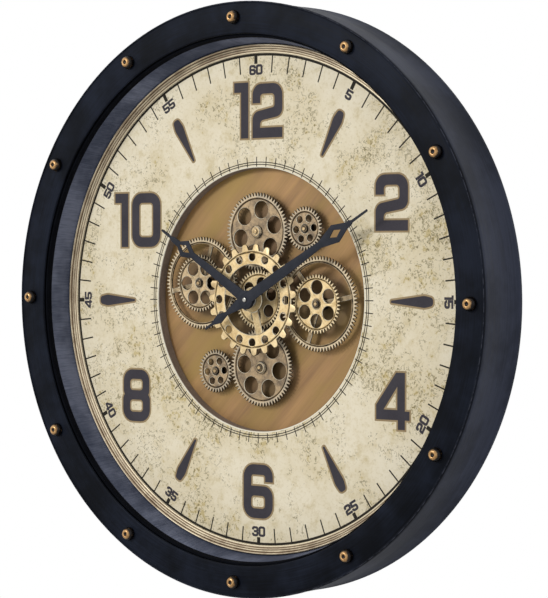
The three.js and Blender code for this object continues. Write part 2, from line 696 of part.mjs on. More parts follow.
// Clock movement
const knobRecess = disc(KNOB_RADIUS + KNOB_ROOM, UNIT_BACK - KNOB_HEIGHT, WALL, SMALL_SIDES);
knobRecess.translate(KNOB_X, 0, KNOB_Z);
const arborWell = disc(BUSHING_RADIUS + SEAT, PLATE_BACK, UNIT_FRONT + BUSHING_ROOT + SEAT, SMALL_SIDES);
add('movement_housing', unitHousing(knobRecess, arborWell), finishes.plastic);
add('movement_battery', dryCell(), finishes.cell);
add('setting_knob', disc(
  KNOB_RADIUS, UNIT_BACK - KNOB_HEIGHT + SEAT, UNIT_BACK + KNOB_PROUD, SMALL_SIDES,
), finishes.plastic, [KNOB_X, KNOB_Z]);
const bushingFront = RING_FRONT - SEAT - COLLAR_THICK;
add('threaded_bushing', ring(
  HOUR_PIPE_RADIUS + RUNNING, BUSHING_RADIUS, bushingFront, UNIT_FRONT + BUSHING_ROOT, SMALL_SIDES,
), finishes.light);
const nutShape = new THREE.Shape(circle([0, 0], NUT_ACROSS / Math.sqrt(3), 6));
nutShape.holes.push(new THREE.Path(circle([0, 0], BUSHING_RADIUS + SEAT, SMALL_SIDES)));
const nutBack = PLATE_DEPTH - SEAT;
add('centre_nut', plate(nutShape, nutBack - NUT_THICK, nutBack), finishes.steel);

// Gear motor unit that turns the train
const switchWell = new THREE.BoxGeometry(
  SWITCH_LENGTH + SWITCH_TRAVEL + 2 * SEAT, 2 * SWITCH_WELL, SWITCH_WIDTH + 2 * SEAT,
);
switchWell.translate(SWITCH_X + SWITCH_TRAVEL / 2, UNIT_BACK, SWITCH_Z);
const shaftWell = disc(ARBOR_RADIUS + RUNNING, PLATE_BACK, UNIT_FRONT + SHAFT_ROOT + SEAT, SMALL_SIDES);
add('gear_motor_housing', unitHousing(switchWell, shaftWell), finishes.plastic, topWheel.at);
add('gear_motor_battery', dryCell(), finishes.cell, topWheel.at);
const sliderBack = UNIT_BACK + SWITCH_PROUD;
const sliderFront = UNIT_BACK - SWITCH_WELL + SEAT;
const slider = new THREE.BoxGeometry(SWITCH_LENGTH, sliderBack - sliderFront, SWITCH_WIDTH);
slider.translate(SWITCH_X, (sliderBack + sliderFront) / 2, SWITCH_Z);
add('gear_motor_switch', slider, finishes.steel, topWheel.at);

// Centre wheel, toothed ring and the sleeve that joins them
add('centre_wheel', piercedWheel({
  ...centreWheel, front: CENTRE_FRONT, thick: CENTRE_THICK, bore: SLEEVE_RADIUS + SEAT,
  windows: { count: 6, circle: 17, radius: 6.2, angle: 12, sides: TINY_SIDES },
}), finishes.light);
const sleeveFront = RING_FRONT + RING_THICK + SEAT;
const sleeveBack = nutBack - NUT_THICK - SEAT;
add('centre_sleeve', revolve([
  [SLEEVE_BORE, sleeveFront], [SLEEVE_FLANGE, sleeveFront], [SLEEVE_FLANGE, sleeveFront + RING_THICK],
  [SLEEVE_RADIUS, sleeveFront + RING_THICK], [SLEEVE_RADIUS, sleeveBack], [SLEEVE_BORE, sleeveBack],
], SMALL_SIDES), finishes.light);
const collarBack = RING_FRONT - SEAT;
add('ring_collar', ring(
  SLEEVE_BORE, COLLAR_RADIUS, collarBack - COLLAR_THICK, collarBack, SMALL_SIDES,
), finishes.steel);
add('toothed_ring', toothedRing(), finishes.light);

// Wheels above and below, their hubs and arbors
const largeWindows = (angle) => ({ count: 6, circle: 22.9, radius: 9, angle, sides: TINY_SIDES });
const trainWheel = (wheel, windows, bore) => piercedWheel({
  teeth: wheel.teeth, phase: wheel.phase, front: TRAIN_FRONT, thick: TRAIN_THICK, bore, windows,
});
const looseBore = ARBOR_RADIUS + RUNNING;
const trainShoulder = TRAIN_FRONT + TRAIN_THICK + SEAT;
const rimShoulder = RIM_FRONT + TRAIN_THICK + SEAT;
add('top_wheel', trainWheel(topWheel, largeWindows(13), looseBore), finishes.bronze, topWheel.at);
add('top_wheel_hub', wheelHub(looseBore), finishes.light, topWheel.at);
const hubFront = TRAIN_FRONT - SEAT - HUB_RISE;
add('drive_shaft', turned([
  [0, hubFront - SHAFT_PROUD], [ARBOR_RADIUS - SHAFT_CHAMFER, hubFront - SHAFT_PROUD],
  [ARBOR_RADIUS, hubFront - SHAFT_PROUD + SHAFT_CHAMFER],
  [ARBOR_RADIUS, UNIT_FRONT + SHAFT_ROOT], [0, UNIT_FRONT + SHAFT_ROOT],
], SMALL_SIDES), finishes.light, topWheel.at);
add('bottom_wheel', trainWheel(bottomWheel, largeWindows(37), looseBore), finishes.bronze, bottomWheel.at);
add('bottom_wheel_hub', wheelHub(looseBore), finishes.light, bottomWheel.at);
add('bottom_arbor', arbor(hubFront, trainShoulder), finishes.light, bottomWheel.at);

// Small wheels
const smallWindows = (angle) => ({ count: 6, circle: 11.3, radius: 3.7, angle, sides: TINY_SIDES });
[['upper_small', upperSmall, 25], ['lower_small', lowerSmall, 25]].forEach(([name, wheel, angle]) => {
  add(`${name}_wheel`, trainWheel(wheel, smallWindows(angle), looseBore), finishes.bronze, wheel.at);
  add(`${name}_arbor`, arbor(TRAIN_FRONT, trainShoulder), finishes.light, wheel.at);
});

// Rim wheels at the sides, each with a smaller wheel in front on the same arbor
const frontWindows = (angle) => ({ count: 6, circle: 17, radius: 7.1, angle, sides: TINY_SIDES });
[
  { side: 'right', wheel: rightRim, spokes: [79.5, 199.5, 319.5], windows: frontWindows(1.5) },
  { side: 'left', wheel: leftRim, spokes: [18, 138, 258], windows: frontWindows(-30.4) },
].forEach(({ side, wheel, spokes, windows }) => {
  add(`${side}_rim_wheel`, rimWheel(wheel.phase, spokes), finishes.light, wheel.at);
  add(`${side}_front_wheel`, piercedWheel({
    teeth: FRONT_TEETH, phase: 0, front: FRONT_WHEEL_FRONT, thick: FRONT_WHEEL_THICK, windows,
    bore: looseBore,
  }), finishes.light, wheel.at);
  add(`${side}_arbor`, arbor(FRONT_WHEEL_FRONT, rimShoulder), finishes.light, wheel.at);
});

// Hands
add('hour_hand', hourHand(), finishes.hand, [0, 0], HOUR_ANGLE);
add('hour_pipe', ring(
  MINUTE_ARBOR_RADIUS + RUNNING, HOUR_PIPE_RADIUS, HOUR_DEPTH, UNIT_FRONT + BUSHING_ROOT, SMALL_SIDES,
), finishes.light);
add('minute_hand', minuteHand(), finishes.hand, [0, 0], MINUTE_ANGLE);
add('minute_arbor', disc(
  MINUTE_ARBOR_RADIUS, MINUTE_DEPTH, UNIT_FRONT + BUSHING_ROOT, SMALL_SIDES,
), finishes.light);
add('hand_nut', handNut(), finishes.steel);

const part = new THREE.Group();
part.add(clock);

export default part;
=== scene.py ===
"""Round wall clock with an open gear train: its fine shapes, finishes, light and camera.

Lengths are in millimetres in the classes and become metres as each piece is made. Every
piece is modelled about the clock's own axis, with the bezel's front face at depth 0 and
depths running back to the wall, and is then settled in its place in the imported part.
Angles run clockwise from twelve o'clock, in degrees.
"""

import json
import logging
import math
from collections.abc import Callable, Sequence
from dataclasses import dataclass, field
from enum import Enum
from typing import Any

import bmesh
import bpy
from mathutils import Matrix, Vector

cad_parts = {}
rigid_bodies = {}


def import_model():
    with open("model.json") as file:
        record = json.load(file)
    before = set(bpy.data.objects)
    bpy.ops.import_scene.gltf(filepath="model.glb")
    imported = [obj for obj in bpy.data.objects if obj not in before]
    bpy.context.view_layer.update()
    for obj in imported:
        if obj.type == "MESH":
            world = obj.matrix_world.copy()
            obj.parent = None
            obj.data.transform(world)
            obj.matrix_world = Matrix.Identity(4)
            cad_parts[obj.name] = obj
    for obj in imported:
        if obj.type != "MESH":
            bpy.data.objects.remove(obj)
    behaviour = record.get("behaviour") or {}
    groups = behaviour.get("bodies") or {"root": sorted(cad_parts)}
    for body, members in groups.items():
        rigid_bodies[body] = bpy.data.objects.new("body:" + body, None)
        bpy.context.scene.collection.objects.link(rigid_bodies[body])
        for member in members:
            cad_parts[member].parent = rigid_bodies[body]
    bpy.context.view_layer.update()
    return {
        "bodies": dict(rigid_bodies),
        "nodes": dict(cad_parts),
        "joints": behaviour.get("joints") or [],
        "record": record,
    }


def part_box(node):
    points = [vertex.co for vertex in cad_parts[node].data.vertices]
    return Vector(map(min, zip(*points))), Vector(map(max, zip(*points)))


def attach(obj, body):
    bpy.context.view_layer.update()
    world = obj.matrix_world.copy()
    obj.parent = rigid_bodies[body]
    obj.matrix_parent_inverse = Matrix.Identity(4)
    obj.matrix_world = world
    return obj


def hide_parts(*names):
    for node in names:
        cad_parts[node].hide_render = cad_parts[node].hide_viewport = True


LOG = logging.getLogger("gear_clock")
MM = 0.001
Point = tuple[float, float]
Triple = tuple[float, float, float]
Colour = tuple[float, float, float]
Outlines = list[list[Point]]
Piece = bpy.types.Object
Tree = bpy.types.NodeTree
Socket = bpy.types.NodeSocket
Source = Socket | float | Colour | Vector

HOURS = 12
# How close two points of a shell are where they are merged.
DOUBLES_APART = 0.002
# How many steps a rounded corner of a drawing takes.
CORNER_STEPS = 6
# The angle from which an edge is sharp, where a piece has no other.
CREASE = 32
# How square to the front a face is where it counts as a rubbed edge, which also takes a painted
# highlight.
WEAR_AND_GLINT_TILT = (0.2, 0.95)
# How much rougher a finish is where its grain is strongest.
ROUGH_SPAN = 0.12


# Modelling


class Carve(Enum):
    """What a cutting tool does to the piece it meets."""

    AWAY = "DIFFERENCE"
    ON = "UNION"


class Spots(Enum):
    """What parts of a mesh a stored value belongs to."""

    POINTS = "POINT"
    FACES = "FACE"


class Sum(Enum):
    """How a node works out its number."""

    ADD = "ADD"
    SUBTRACT = "SUBTRACT"
    MULTIPLY = "MULTIPLY"
    DIVIDE = "DIVIDE"
    LEAST = "MINIMUM"
    MOST = "MAXIMUM"
    SIZE = "ABSOLUTE"


def clear_selection() -> None:
    """Leaves nothing selected, in object mode."""
    if bpy.context.object and bpy.context.object.mode != "OBJECT":
        bpy.ops.object.mode_set(mode="OBJECT")
    bpy.ops.object.select_all(action="DESELECT")


def take(*objects: Piece) -> None:
    """Selects only these objects and makes the first one active.

    Args:
        objects: The objects, the active one first.
    """
    clear_selection()
    for obj in objects:
        obj.select_set(True)
    bpy.context.view_layer.objects.active = objects[0]


def apply_place(obj: Piece) -> None:
    """Puts the object's place, turn and scale into its mesh."""
    take(obj)
    bpy.ops.object.transform_apply(location=True, rotation=True, scale=True)


def dial_point(radius: float, angle: float) -> Point:
    """Gives the point at a radius and a clock angle in the plane of the dial."""
    turn = math.radians(angle)
    return radius * math.sin(turn), radius * math.cos(turn)


def pick(obj: Piece, wanted: Callable[[Vector], bool]) -> None:
    """Selects, in edit mode, the vertices whose place passes a test.

    Args:
        obj: The object being edited.
        wanted: Says whether a vertex at a place is picked.
    """
    mesh = bmesh.from_edit_mesh(obj.data)
    for vertex in mesh.verts:
        vertex.select_set(wanted(vertex.co))
    mesh.select_flush(True)
    mesh.select_flush(False)
    bmesh.update_edit_mesh(obj.data)


def turn_profile(name: str, profile: Sequence[Point], sides: int, solid: bool = False) -> Piece:
    """Turns a profile about the clock's axis by carrying one ring through its points.

    Args:
        name: The piece's name.
        profile: Points of (radius, depth) in millimetres, in order round the section.
        sides: How many sides the round has.
        solid: Whether the profile starts and ends on flat caps, in place of closing.

    Returns:
        The turned object, about the clock's own axis.
    """
    clear_selection()
    radius, depth = profile[0]
    bpy.ops.mesh.primitive_circle_add(
        vertices=sides,
        radius=radius * MM,
        fill_type="NGON" if solid else "NOTHING",
        location=(0, depth * MM, 0),
        rotation=(math.pi / 2, 0, 0),
    )
    obj = bpy.context.object
    obj.name = name
    apply_place(obj)
    bpy.ops.object.mode_set(mode="EDIT")
    bpy.ops.mesh.select_all(action="SELECT")
    stations = list(profile[1:]) if solid else [*profile[1:], profile[0]]
    for next_radius, next_depth in stations:
        step = (0, (next_depth - depth) * MM, 0)
        bpy.ops.mesh.extrude_region_move(TRANSFORM_OT_translate={"value": step})
        share = next_radius / radius
        bpy.ops.transform.resize(
            value=(share, 1, share), center_override=(0, next_depth * MM, 0)
        )
        radius, depth = next_radius, next_depth
    close_shell()
    return obj


def close_shell() -> None:
    """Merges the doubles of the mesh being edited and points its faces outwards."""
    bpy.ops.mesh.select_all(action="SELECT")
    bpy.ops.mesh.remove_doubles(threshold=DOUBLES_APART * MM)
    bpy.ops.mesh.normals_make_consistent(inside=False)
    bpy.ops.object.mode_set(mode="OBJECT")


def round_bar(radius: float, front: float, back: float, sides: int, at: Point = (0, 0)) -> Piece:
    """Adds a round bar along the clock's axis, between two depths.

    Args:
        radius: The bar's radius.
        front: The depth of its front face.
        back: The depth of its back face.
        sides: How many sides the round has.
        at: Where it stands in the plane of the dial.

    Returns:
        The bar.
    """
    clear_selection()
    bpy.ops.mesh.primitive_cylinder_add(
        vertices=sides,
        radius=radius * MM,
        depth=(back - front) * MM,
        location=(at[0] * MM, (front + back) / 2 * MM, at[1] * MM),
        rotation=(math.pi / 2, 0, 0),
    )
    obj = bpy.context.object
    apply_place(obj)
    return obj


def flat_bar(
    inner: float, outer: float, width: float, front: float, back: float, angle: float
) -> Piece:
    """Adds a flat bar that runs outwards from the axis at a clock angle.

    Args:
        inner: The radius at which the bar starts.
        outer: The radius at which it ends.
        width: Its width across.
        front: The depth of its front face.
        back: The depth of its back face.
        angle: The clock angle that it points to.

    Returns:
        The bar.
    """
    clear_selection()
    x, z = dial_point((inner + outer) / 2, angle)
    bpy.ops.mesh.primitive_cube_add(
        size=1,
        location=(x * MM, (front + back) / 2 * MM, z * MM),
        rotation=(0, math.radians(angle), 0),
        scale=(width * MM, (back - front) * MM, (outer - inner) * MM),
    )
    obj = bpy.context.object
    apply_place(obj)
    return obj


def blade(name: str, stations: Sequence[Point], front: float, thick: float) -> Piece:
    """Draws a tapered blade by carrying its end edge through stations along it.

    Args:
        name: The piece's name.
        stations: Points of (distance along, half width).
        front: The depth of its front face.
        thick: Its thickness.

    Returns:
        The blade, pointing to twelve o'clock.
    """
    clear_selection()
    bpy.ops.mesh.primitive_plane_add(
        size=2, location=(0, front * MM, 0), rotation=(math.pi / 2, 0, 0)
    )
    obj = bpy.context.object
    obj.name = name
    apply_place(obj)
    bpy.ops.object.mode_set(mode="EDIT")
    for side, (along, half) in zip((-1, 1), stations[:2]):
        pick(obj, lambda co, side=side: co.z * side > 0.5)
        bpy.ops.transform.translate(value=(0, 0, along * MM - side))
        bpy.ops.transform.resize(
            value=(half * MM, 1, 1), center_override=(0, front * MM, 0)
        )
    along, half = stations[1]
    for next_along, next_half in stations[2:]:
        step = (0, 0, (next_along - along) * MM)
        bpy.ops.mesh.extrude_region_move(TRANSFORM_OT_translate={"value": step})
        bpy.ops.transform.resize(
            value=(next_half / half, 1, 1), center_override=(0, front * MM, 0)
        )
        along, half = next_along, next_half
    bpy.ops.mesh.select_all(action="SELECT")
    bpy.ops.mesh.extrude_region_move(
        TRANSFORM_OT_translate={"value": (0, thick * MM, 0)}
    )
    close_shell()
    return obj


def carve(obj: Piece, tools: Sequence[Piece], how: Carve = Carve.AWAY) -> None:
    """Cuts tools out of a piece, or welds them on, and uses the tools up.

    Args:
        obj: The piece that is worked.
        tools: The solids that meet it, clear of each other.
        how: Whether they are cut away or welded on.
    """
    take(*tools)
    if len(tools) > 1:
        bpy.ops.object.join()
    tool = bpy.context.view_layer.objects.active
    take(obj)
    cut = obj.modifiers.new("carve", "BOOLEAN")
    cut.operation = how.value
    cut.object = tool
    cut.solver = "EXACT"
    bpy.ops.object.modifier_apply(modifier=cut.name)
    bpy.data.objects.remove(tool)


def soften(obj: Piece, width: float, segments: int = 2, angle: float = CREASE) -> None:
    """Rounds a piece's sharp edges and smooths its shading.

    Args:
        obj: The piece.
        width: The width of the rounding.
        segments: How many steps it takes.
        angle: The angle at which an edge counts as sharp, in degrees.
    """
    take(obj)
    bevel = obj.modifiers.new("soften", "BEVEL")
    bevel.width = width * MM
    bevel.segments = segments
    bevel.limit_method = "ANGLE"
    bevel.angle_limit = math.radians(angle)
    bevel.use_clamp_overlap = False
    bpy.ops.object.modifier_apply(modifier=bevel.name)
    smooth(obj, angle)


def part_faces(obj: Piece) -> None:
    """Parts a carved piece's faces into triangles, so that a pierced face bevels well.

    Args:
        obj: The piece.
    """
    take(obj)
    parts = obj.modifiers.new("parts", "TRIANGULATE")
    bpy.ops.object.modifier_apply(modifier=parts.name)


def smooth(obj: Piece, angle: float = CREASE) -> None:
    """Shades a piece smooth, apart from edges sharper than an angle."""
    take(obj)
    bpy.ops.object.shade_smooth_by_angle(angle=math.radians(angle))


def join(name: str, pieces: Sequence[Piece]) -> Piece:
    """Joins pieces into one object of the given name.

    Args:
        name: The joined object's name.
        pieces: What is joined.

    Returns:
        The one object.
    """
    take(*pieces)
    if len(pieces) > 1:
        bpy.ops.object.join()
    obj = bpy.context.view_layer.objects.active
    obj.name = name
    return obj


def copy_of(obj: Piece, name: str) -> Piece:
    """Copies a piece with a mesh of its own.

    Args:
        obj: The piece.
        name: The copy's name.

    Returns:
        The copy.
    """
    twin = obj.copy()
    twin.data = obj.data.copy()
    twin.name = name
    bpy.context.scene.collection.objects.link(twin)
    return twin


def rounded(corners: Sequence[Triple]) -> list[Point]:
    """Rounds the corners of a closed outline.

    Args:
        corners: Points of (x, y, corner radius).

    Returns:
        The outline's points, with an arc in place of each rounded corner.
    """
    outline: list[Point] = []
    for i, (x, y, radius) in enumerate(corners):
        if radius == 0:
            outline.append((x, y))
            continue
        here = Vector((x, y))
        before = (Vector(corners[i - 1][:2]) - here).normalized()
        after = (Vector(corners[(i + 1) % len(corners)][:2]) - here).normalized()
        half = before.angle(after) / 2
        middle = here + (before + after).normalized() * (radius / math.sin(half))
        start = here + before * (radius / math.tan(half)) - middle
        end = here + after * (radius / math.tan(half)) - middle
        sweep = start.angle_signed(end, 0)
        for step in range(CORNER_STEPS + 1):
            turned = Matrix.Rotation(-sweep * step / CORNER_STEPS, 2) @ start
            outline.append(tuple(middle + turned))
    return outline


def drawing(name: str, outlines: Outlines, thick: float, grow: float = 0) -> Piece:
    """Makes a flat drawing of filled outlines, each hole wound against its outline.

    Args:
        name: The piece's name.
        outlines: Closed outlines in the plane of the drawing.
        thick: The drawing's thickness.
        grow: How far the outlines are moved outwards.

    Returns:
        The drawing as a mesh in its own XY plane, rising to +Z.
    """
    curve = bpy.data.curves.new(name, "CURVE")
    curve.dimensions = "2D"
    curve.fill_mode = "BOTH"
    curve.extrude = thick / 2 * MM
    curve.offset = grow * MM
    for outline in outlines:
        spline = curve.splines.new("POLY")
        spline.points.add(len(outline) - 1)
        for point, (x, y) in zip(spline.points, outline):
            point.co = (x * MM, y * MM, 0, 1)
        spline.use_cyclic_u = True
    obj = bpy.data.objects.new(name, curve)
    bpy.context.scene.collection.objects.link(obj)
    take(obj)
    bpy.ops.object.convert(target="MESH")
    return bpy.context.object


def lay_on_dial(obj: Piece, at: Point, depth: float, turn: float = 0) -> Piece:
    """Stands a flat drawing up in the plane of the dial, facing forwards.

    Args:
        obj: The drawing, in its own XY plane.
        at: Where its origin goes.
        depth: The depth of its middle.
        turn: How far it turns clockwise.

    Returns:
        The same drawing.
    """
    stand = Matrix.Rotation(math.pi / 2, 4, "X")
    place = Matrix.Translation((at[0] * MM, depth * MM, at[1] * MM))
    obj.data.transform(place @ Matrix.Rotation(math.radians(turn), 4, "Y") @ stand)
    return obj


def store(obj: Piece, name: str, spots: Spots, values: Sequence[float]) -> None:
    """Stores a value for each point or face of a piece, for its finish to read."""
    made = obj.data.attributes.new(name, "FLOAT", spots.value)
    made.data.foreach_set("value", values)


def mark_relief(obj: Piece, front: float, span: float) -> None:
    """Stores how far each point lies behind the piece's face, as a share of a span.

    Args:
        obj: The piece, still about the clock's own axis.
        front: The depth of the face that takes neither patina nor painted shade.
        span: How much deeper the share reaches one.
    """
    shares = [(vertex.co.y / MM - front) / span for vertex in obj.data.vertices]
    store(obj, "relief", Spots.POINTS, [max(0.0, share) for share in shares])


def mark_edges(obj: Piece, groove: Point = (0, 0)) -> None:
    """Stores which faces are a rubbed edge with a painted highlight, neither square to the front
    nor a side wall.

    Args:
        obj: The piece, still about the clock's own axis.
        groove: The radii that a groove lies between, where edges are neither rubbed nor given a
            painted highlight.
    """
    inner, outer = groove
    least, most = WEAR_AND_GLINT_TILT
    rubbed = [
        least < abs(face.normal.y) < most
        and not inner < math.hypot(face.center.x, face.center.z) / MM < outer
        for face in obj.data.polygons
    ]
    store(obj, "worn", Spots.FACES, [float(share) for share in rubbed])


# Finishes


class Palette:
    """One node tree being laid out, for a material or a group."""

    # The sockets that a Mix node has for colours, by number.
    MIX_SHARE, MIX_LOW, MIX_HIGH, MIX_RESULT = 0, 6, 7, 2

    def __init__(self, tree: Tree) -> None:
        """Starts on an empty tree."""
        self.tree = tree

    def feed(self, socket: Socket, source: Source) -> None:
        """Links a source to a socket, or sets it there where it is a constant.

        Args:
            socket: The input that is fed.
            source: Another node's output, or a constant.
        """
        if isinstance(source, Socket):
            self.tree.links.new(source, socket)
        else:
            socket.default_value = source

    def node(
        self,
        kind: str,
        inputs: dict[str | int, Source] | None = None,
        **settings: str | Tree,
    ) -> bpy.types.Node:
        """Adds a node.

        Args:
            kind: The node's type.
            inputs: Constants or other nodes' outputs, by socket name or number.
            settings: The node's own properties.

        Returns:
            The node.
        """
        made = self.tree.nodes.new(kind)
        for key, setting in settings.items():
            setattr(made, key, setting)
        for key, source in (inputs or {}).items():
            self.feed(made.inputs[key], source)
        return made

    def number(self, how: Sum, *values: Source) -> Socket:
        """Works out a number from others."""
        inputs = dict(enumerate(values))
        return self.node("ShaderNodeMath", inputs, operation=how.value).outputs[0]

    def vector(self, operation: str, *values: Source) -> bpy.types.Node:
        """Adds a node that works on vectors."""
        inputs = dict(enumerate(values))
        return self.node("ShaderNodeVectorMath", inputs, operation=operation)

    def share(self, value: Source, low: float, high: float) -> Socket:
        """Gives how far a value has come from low to high, held between 0 and 1."""
        inputs = {"Value": value, "From Min": low, "From Max": high}
        return self.node("ShaderNodeMapRange", inputs, interpolation_type="SMOOTHSTEP").outputs[0]

    def spread(self, share: Source, low: float, high: float) -> Socket:
        """Carries a share over to the span from low to high."""
        inputs = {"Value": share, "To Min": low, "To Max": high}
        return self.node("ShaderNodeMapRange", inputs).outputs[0]

    def blend(self, share: Source, low: Source, high: Source) -> Socket:
        """Mixes two colours by a share.

        Args:
            share: How much of the second colour there is.
            low: The colour where the share is 0.
            high: The colour where it is 1.

        Returns:
            The mixed colour.
        """
        made = self.node("ShaderNodeMix", {self.MIX_SHARE: share}, data_type="RGBA")
        for index, colour in ((self.MIX_LOW, low), (self.MIX_HIGH, high)):
            opaque = (*colour, 1) if isinstance(colour, tuple) else colour
            self.feed(made.inputs[index], opaque)
        return made.outputs[self.MIX_RESULT]

    def noise(
        self, vector: Source, scale: Source, detail: float = 2, rough: float = 0.5
    ) -> Socket:
        """Gives a noise value between 0 and 1 over a vector."""
        inputs = {"Vector": vector, "Scale": scale, "Detail": detail, "Roughness": rough}
        return self.node("ShaderNodeTexNoise", inputs).outputs["Fac"]

    def attribute(self, name: str) -> Socket:
        """Gives a value that the piece's own mesh stores."""
        return self.node("ShaderNodeAttribute", attribute_name=name).outputs["Fac"]

    def group(self, tree: Tree, inputs: dict[str, Source]) -> Socket:
        """Places a group and gives its first output."""
        return self.node("ShaderNodeGroup", inputs, node_tree=tree).outputs[0]

    def centred(self, centre: Vector) -> Socket:
        """Gives the place on the object, measured from a centre."""
        place = self.node("ShaderNodeTexCoord").outputs["Object"]
        return self.vector("SUBTRACT", place, centre).outputs[0]

    def bump(self, height: Source, distance: float) -> Socket:
        """Gives a normal raised by a height, over a distance in millimetres."""
        inputs = {"Height": height, "Distance": distance * MM}
        return self.node("ShaderNodeBump", inputs).outputs[0]

    def flattened(self, place: Source) -> tuple[Socket, Socket]:
        """Parts a place into where it lies in the plane of the dial, and its depth.

        Args:
            place: The place, measured from a point on the axis.

        Returns:
            The place with no depth, and the depth.
        """
        x, depth, z = self.node("ShaderNodeSeparateXYZ", {0: place}).outputs
        return self.node("ShaderNodeCombineXYZ", {0: x, 2: z}).outputs[0], depth

    def radius(self, place: Source) -> Socket:
        """Gives how far a place lies from the clock's axis."""
        flat, _ = self.flattened(place)
        return self.vector("LENGTH", flat).outputs["Value"]


def new_group(
    name: str, inputs: dict[str, str], output: tuple[str, str]
) -> tuple[Tree, Palette, Socket, bpy.types.Node]:
    """Starts a shader node group.

    Args:
        name: The group's name.
        inputs: Socket types by socket name.
        output: The output's name and type.

    Returns:
        The group, its palette, its input node's outputs and its output node.
    """
    tree = bpy.data.node_groups.new(name, "ShaderNodeTree")
    for label, kind in inputs.items():
        tree.interface.new_socket(name=label, in_out="INPUT", socket_type=kind)
    tree.interface.new_socket(name=output[0], in_out="OUTPUT", socket_type=output[1])
    palette = Palette(tree)
    ins = tree.nodes.new("NodeGroupInput").outputs
    return tree, palette, ins, tree.nodes.new("NodeGroupOutput")


class Effects:
    """Effects that several finishes share, each a node group built once."""

    FLOAT = "NodeSocketFloat"
    VECTOR = "NodeSocketVector"

    def __init__(self) -> None:
        """Builds the groups."""
        self.wrapped = self._wrapped()
        self.grain = self._grain()
        self.flecks = self._flecks()
        self.specks = self._specks()

    def sockets(self, vectors: Sequence[str], floats: Sequence[str]) -> dict[str, str]:
        """Gives the socket types of a group's inputs by their names."""
        return dict.fromkeys(vectors, self.VECTOR) | dict.fromkeys(floats, self.FLOAT)

    def _wrapped(self) -> Tree:
        """Turns a place about an axis into its direction, and its run along a section.

        Returns:
            The group.
        """
        tree, palette, ins, out = new_group(
            "round_the_axis", self.sockets(("Place",), ()), ("Wrapped", self.VECTOR)
        )
        flat, depth = palette.flattened(ins["Place"])
        way = palette.vector("NORMALIZE", flat).outputs[0]
        radius = palette.vector("LENGTH", flat).outputs["Value"]
        run = palette.number(Sum.ADD, radius, depth)
        along = palette.node("ShaderNodeCombineXYZ", {1: run}).outputs[0]
        palette.feed(out.inputs[0], palette.vector("ADD", way, along).outputs[0])
        return tree

    def _grain(self) -> Tree:
        """Gives streaks: noise over a place that is stretched along one direction.

        Returns:
            The group.
        """
        tree, palette, ins, out = new_group(
            "stretched_grain",
            self.sockets(("Place", "Stretch"), ("Low", "High")),
            ("Mask", self.FLOAT),
        )
        stretched = palette.vector("MULTIPLY", ins["Place"], ins["Stretch"])
        value = palette.noise(stretched.outputs[0], 1, 4, 0.6)
        limits = {"Value": value, "From Min": ins["Low"], "From Max": ins["High"]}
        made = palette.node("ShaderNodeMapRange", limits)
        palette.feed(out.inputs[0], made.outputs[0])
        return tree

    def _flecks(self) -> Tree:
        """Gives thin crooked scratches that lie in patches.

        Returns:
            The group.
        """
        tree, palette, ins, out = new_group(
            "scratched_flecks",
            self.sockets(("Place",), ("Scale", "Width", "Patch Scale", "Patch Cut")),
            ("Mask", self.FLOAT),
        )
        line = palette.noise(ins["Place"], ins["Scale"], 2, 0.55)
        off_line = palette.number(Sum.SIZE, palette.number(Sum.SUBTRACT, line, 0.5))
        near = palette.number(Sum.DIVIDE, off_line, ins["Width"])
        drawn = palette.number(Sum.SUBTRACT, 1.0, palette.share(near, 0.6, 1.4))
        patch = palette.noise(ins["Place"], ins["Patch Scale"], 3, 0.6)
        inside = palette.share(palette.number(Sum.SUBTRACT, patch, ins["Patch Cut"]), 0, 0.05)
        broken = palette.number(Sum.MULTIPLY, ins["Scale"], 1.7)
        kept = palette.share(palette.noise(ins["Place"], broken, 1, 0.5), 0.47, 0.56)
        both = palette.number(Sum.MULTIPLY, drawn, inside)
        palette.feed(out.inputs[0], palette.number(Sum.MULTIPLY, both, kept))
        return tree

    def _specks(self) -> Tree:
        """Gives small uneven spots that gather in patches.

        Returns:
            The group.
        """
        tree, palette, ins, out = new_group(
            "gathered_specks",
            self.sockets(("Place",), ("Scale", "Cut", "Patch Scale", "Patch Cut")),
            ("Mask", self.FLOAT),
        )
        patch = palette.noise(ins["Place"], ins["Patch Scale"], 3, 0.6)
        lift = palette.number(Sum.SUBTRACT, patch, ins["Patch Cut"])
        lift = palette.number(Sum.LEAST, palette.number(Sum.MULTIPLY, lift, 1.1), 0.12)
        spot = palette.noise(ins["Place"], ins["Scale"], 3, 0.6)
        raised = palette.number(Sum.SUBTRACT, palette.number(Sum.ADD, spot, lift), ins["Cut"])
        palette.feed(out.inputs[0], palette.share(raised, 0, 0.035))
        return tree

    def streaks(
        self, palette: Palette, place: Source, stretch: Triple, low: float, high: float
    ) -> Socket:
        """Places the grain in a material.

        Args:
            palette: The material's nodes.
            place: The place that it is read at.
            stretch: How fine it is along each axis.
            low: The noise up to which it is 0.
            high: The noise from which it is 1.

        Returns:
            The grain, between 0 and 1.
        """
        inputs = {"Place": place, "Stretch": stretch, "Low": low, "High": high}
        return palette.group(self.grain, inputs)


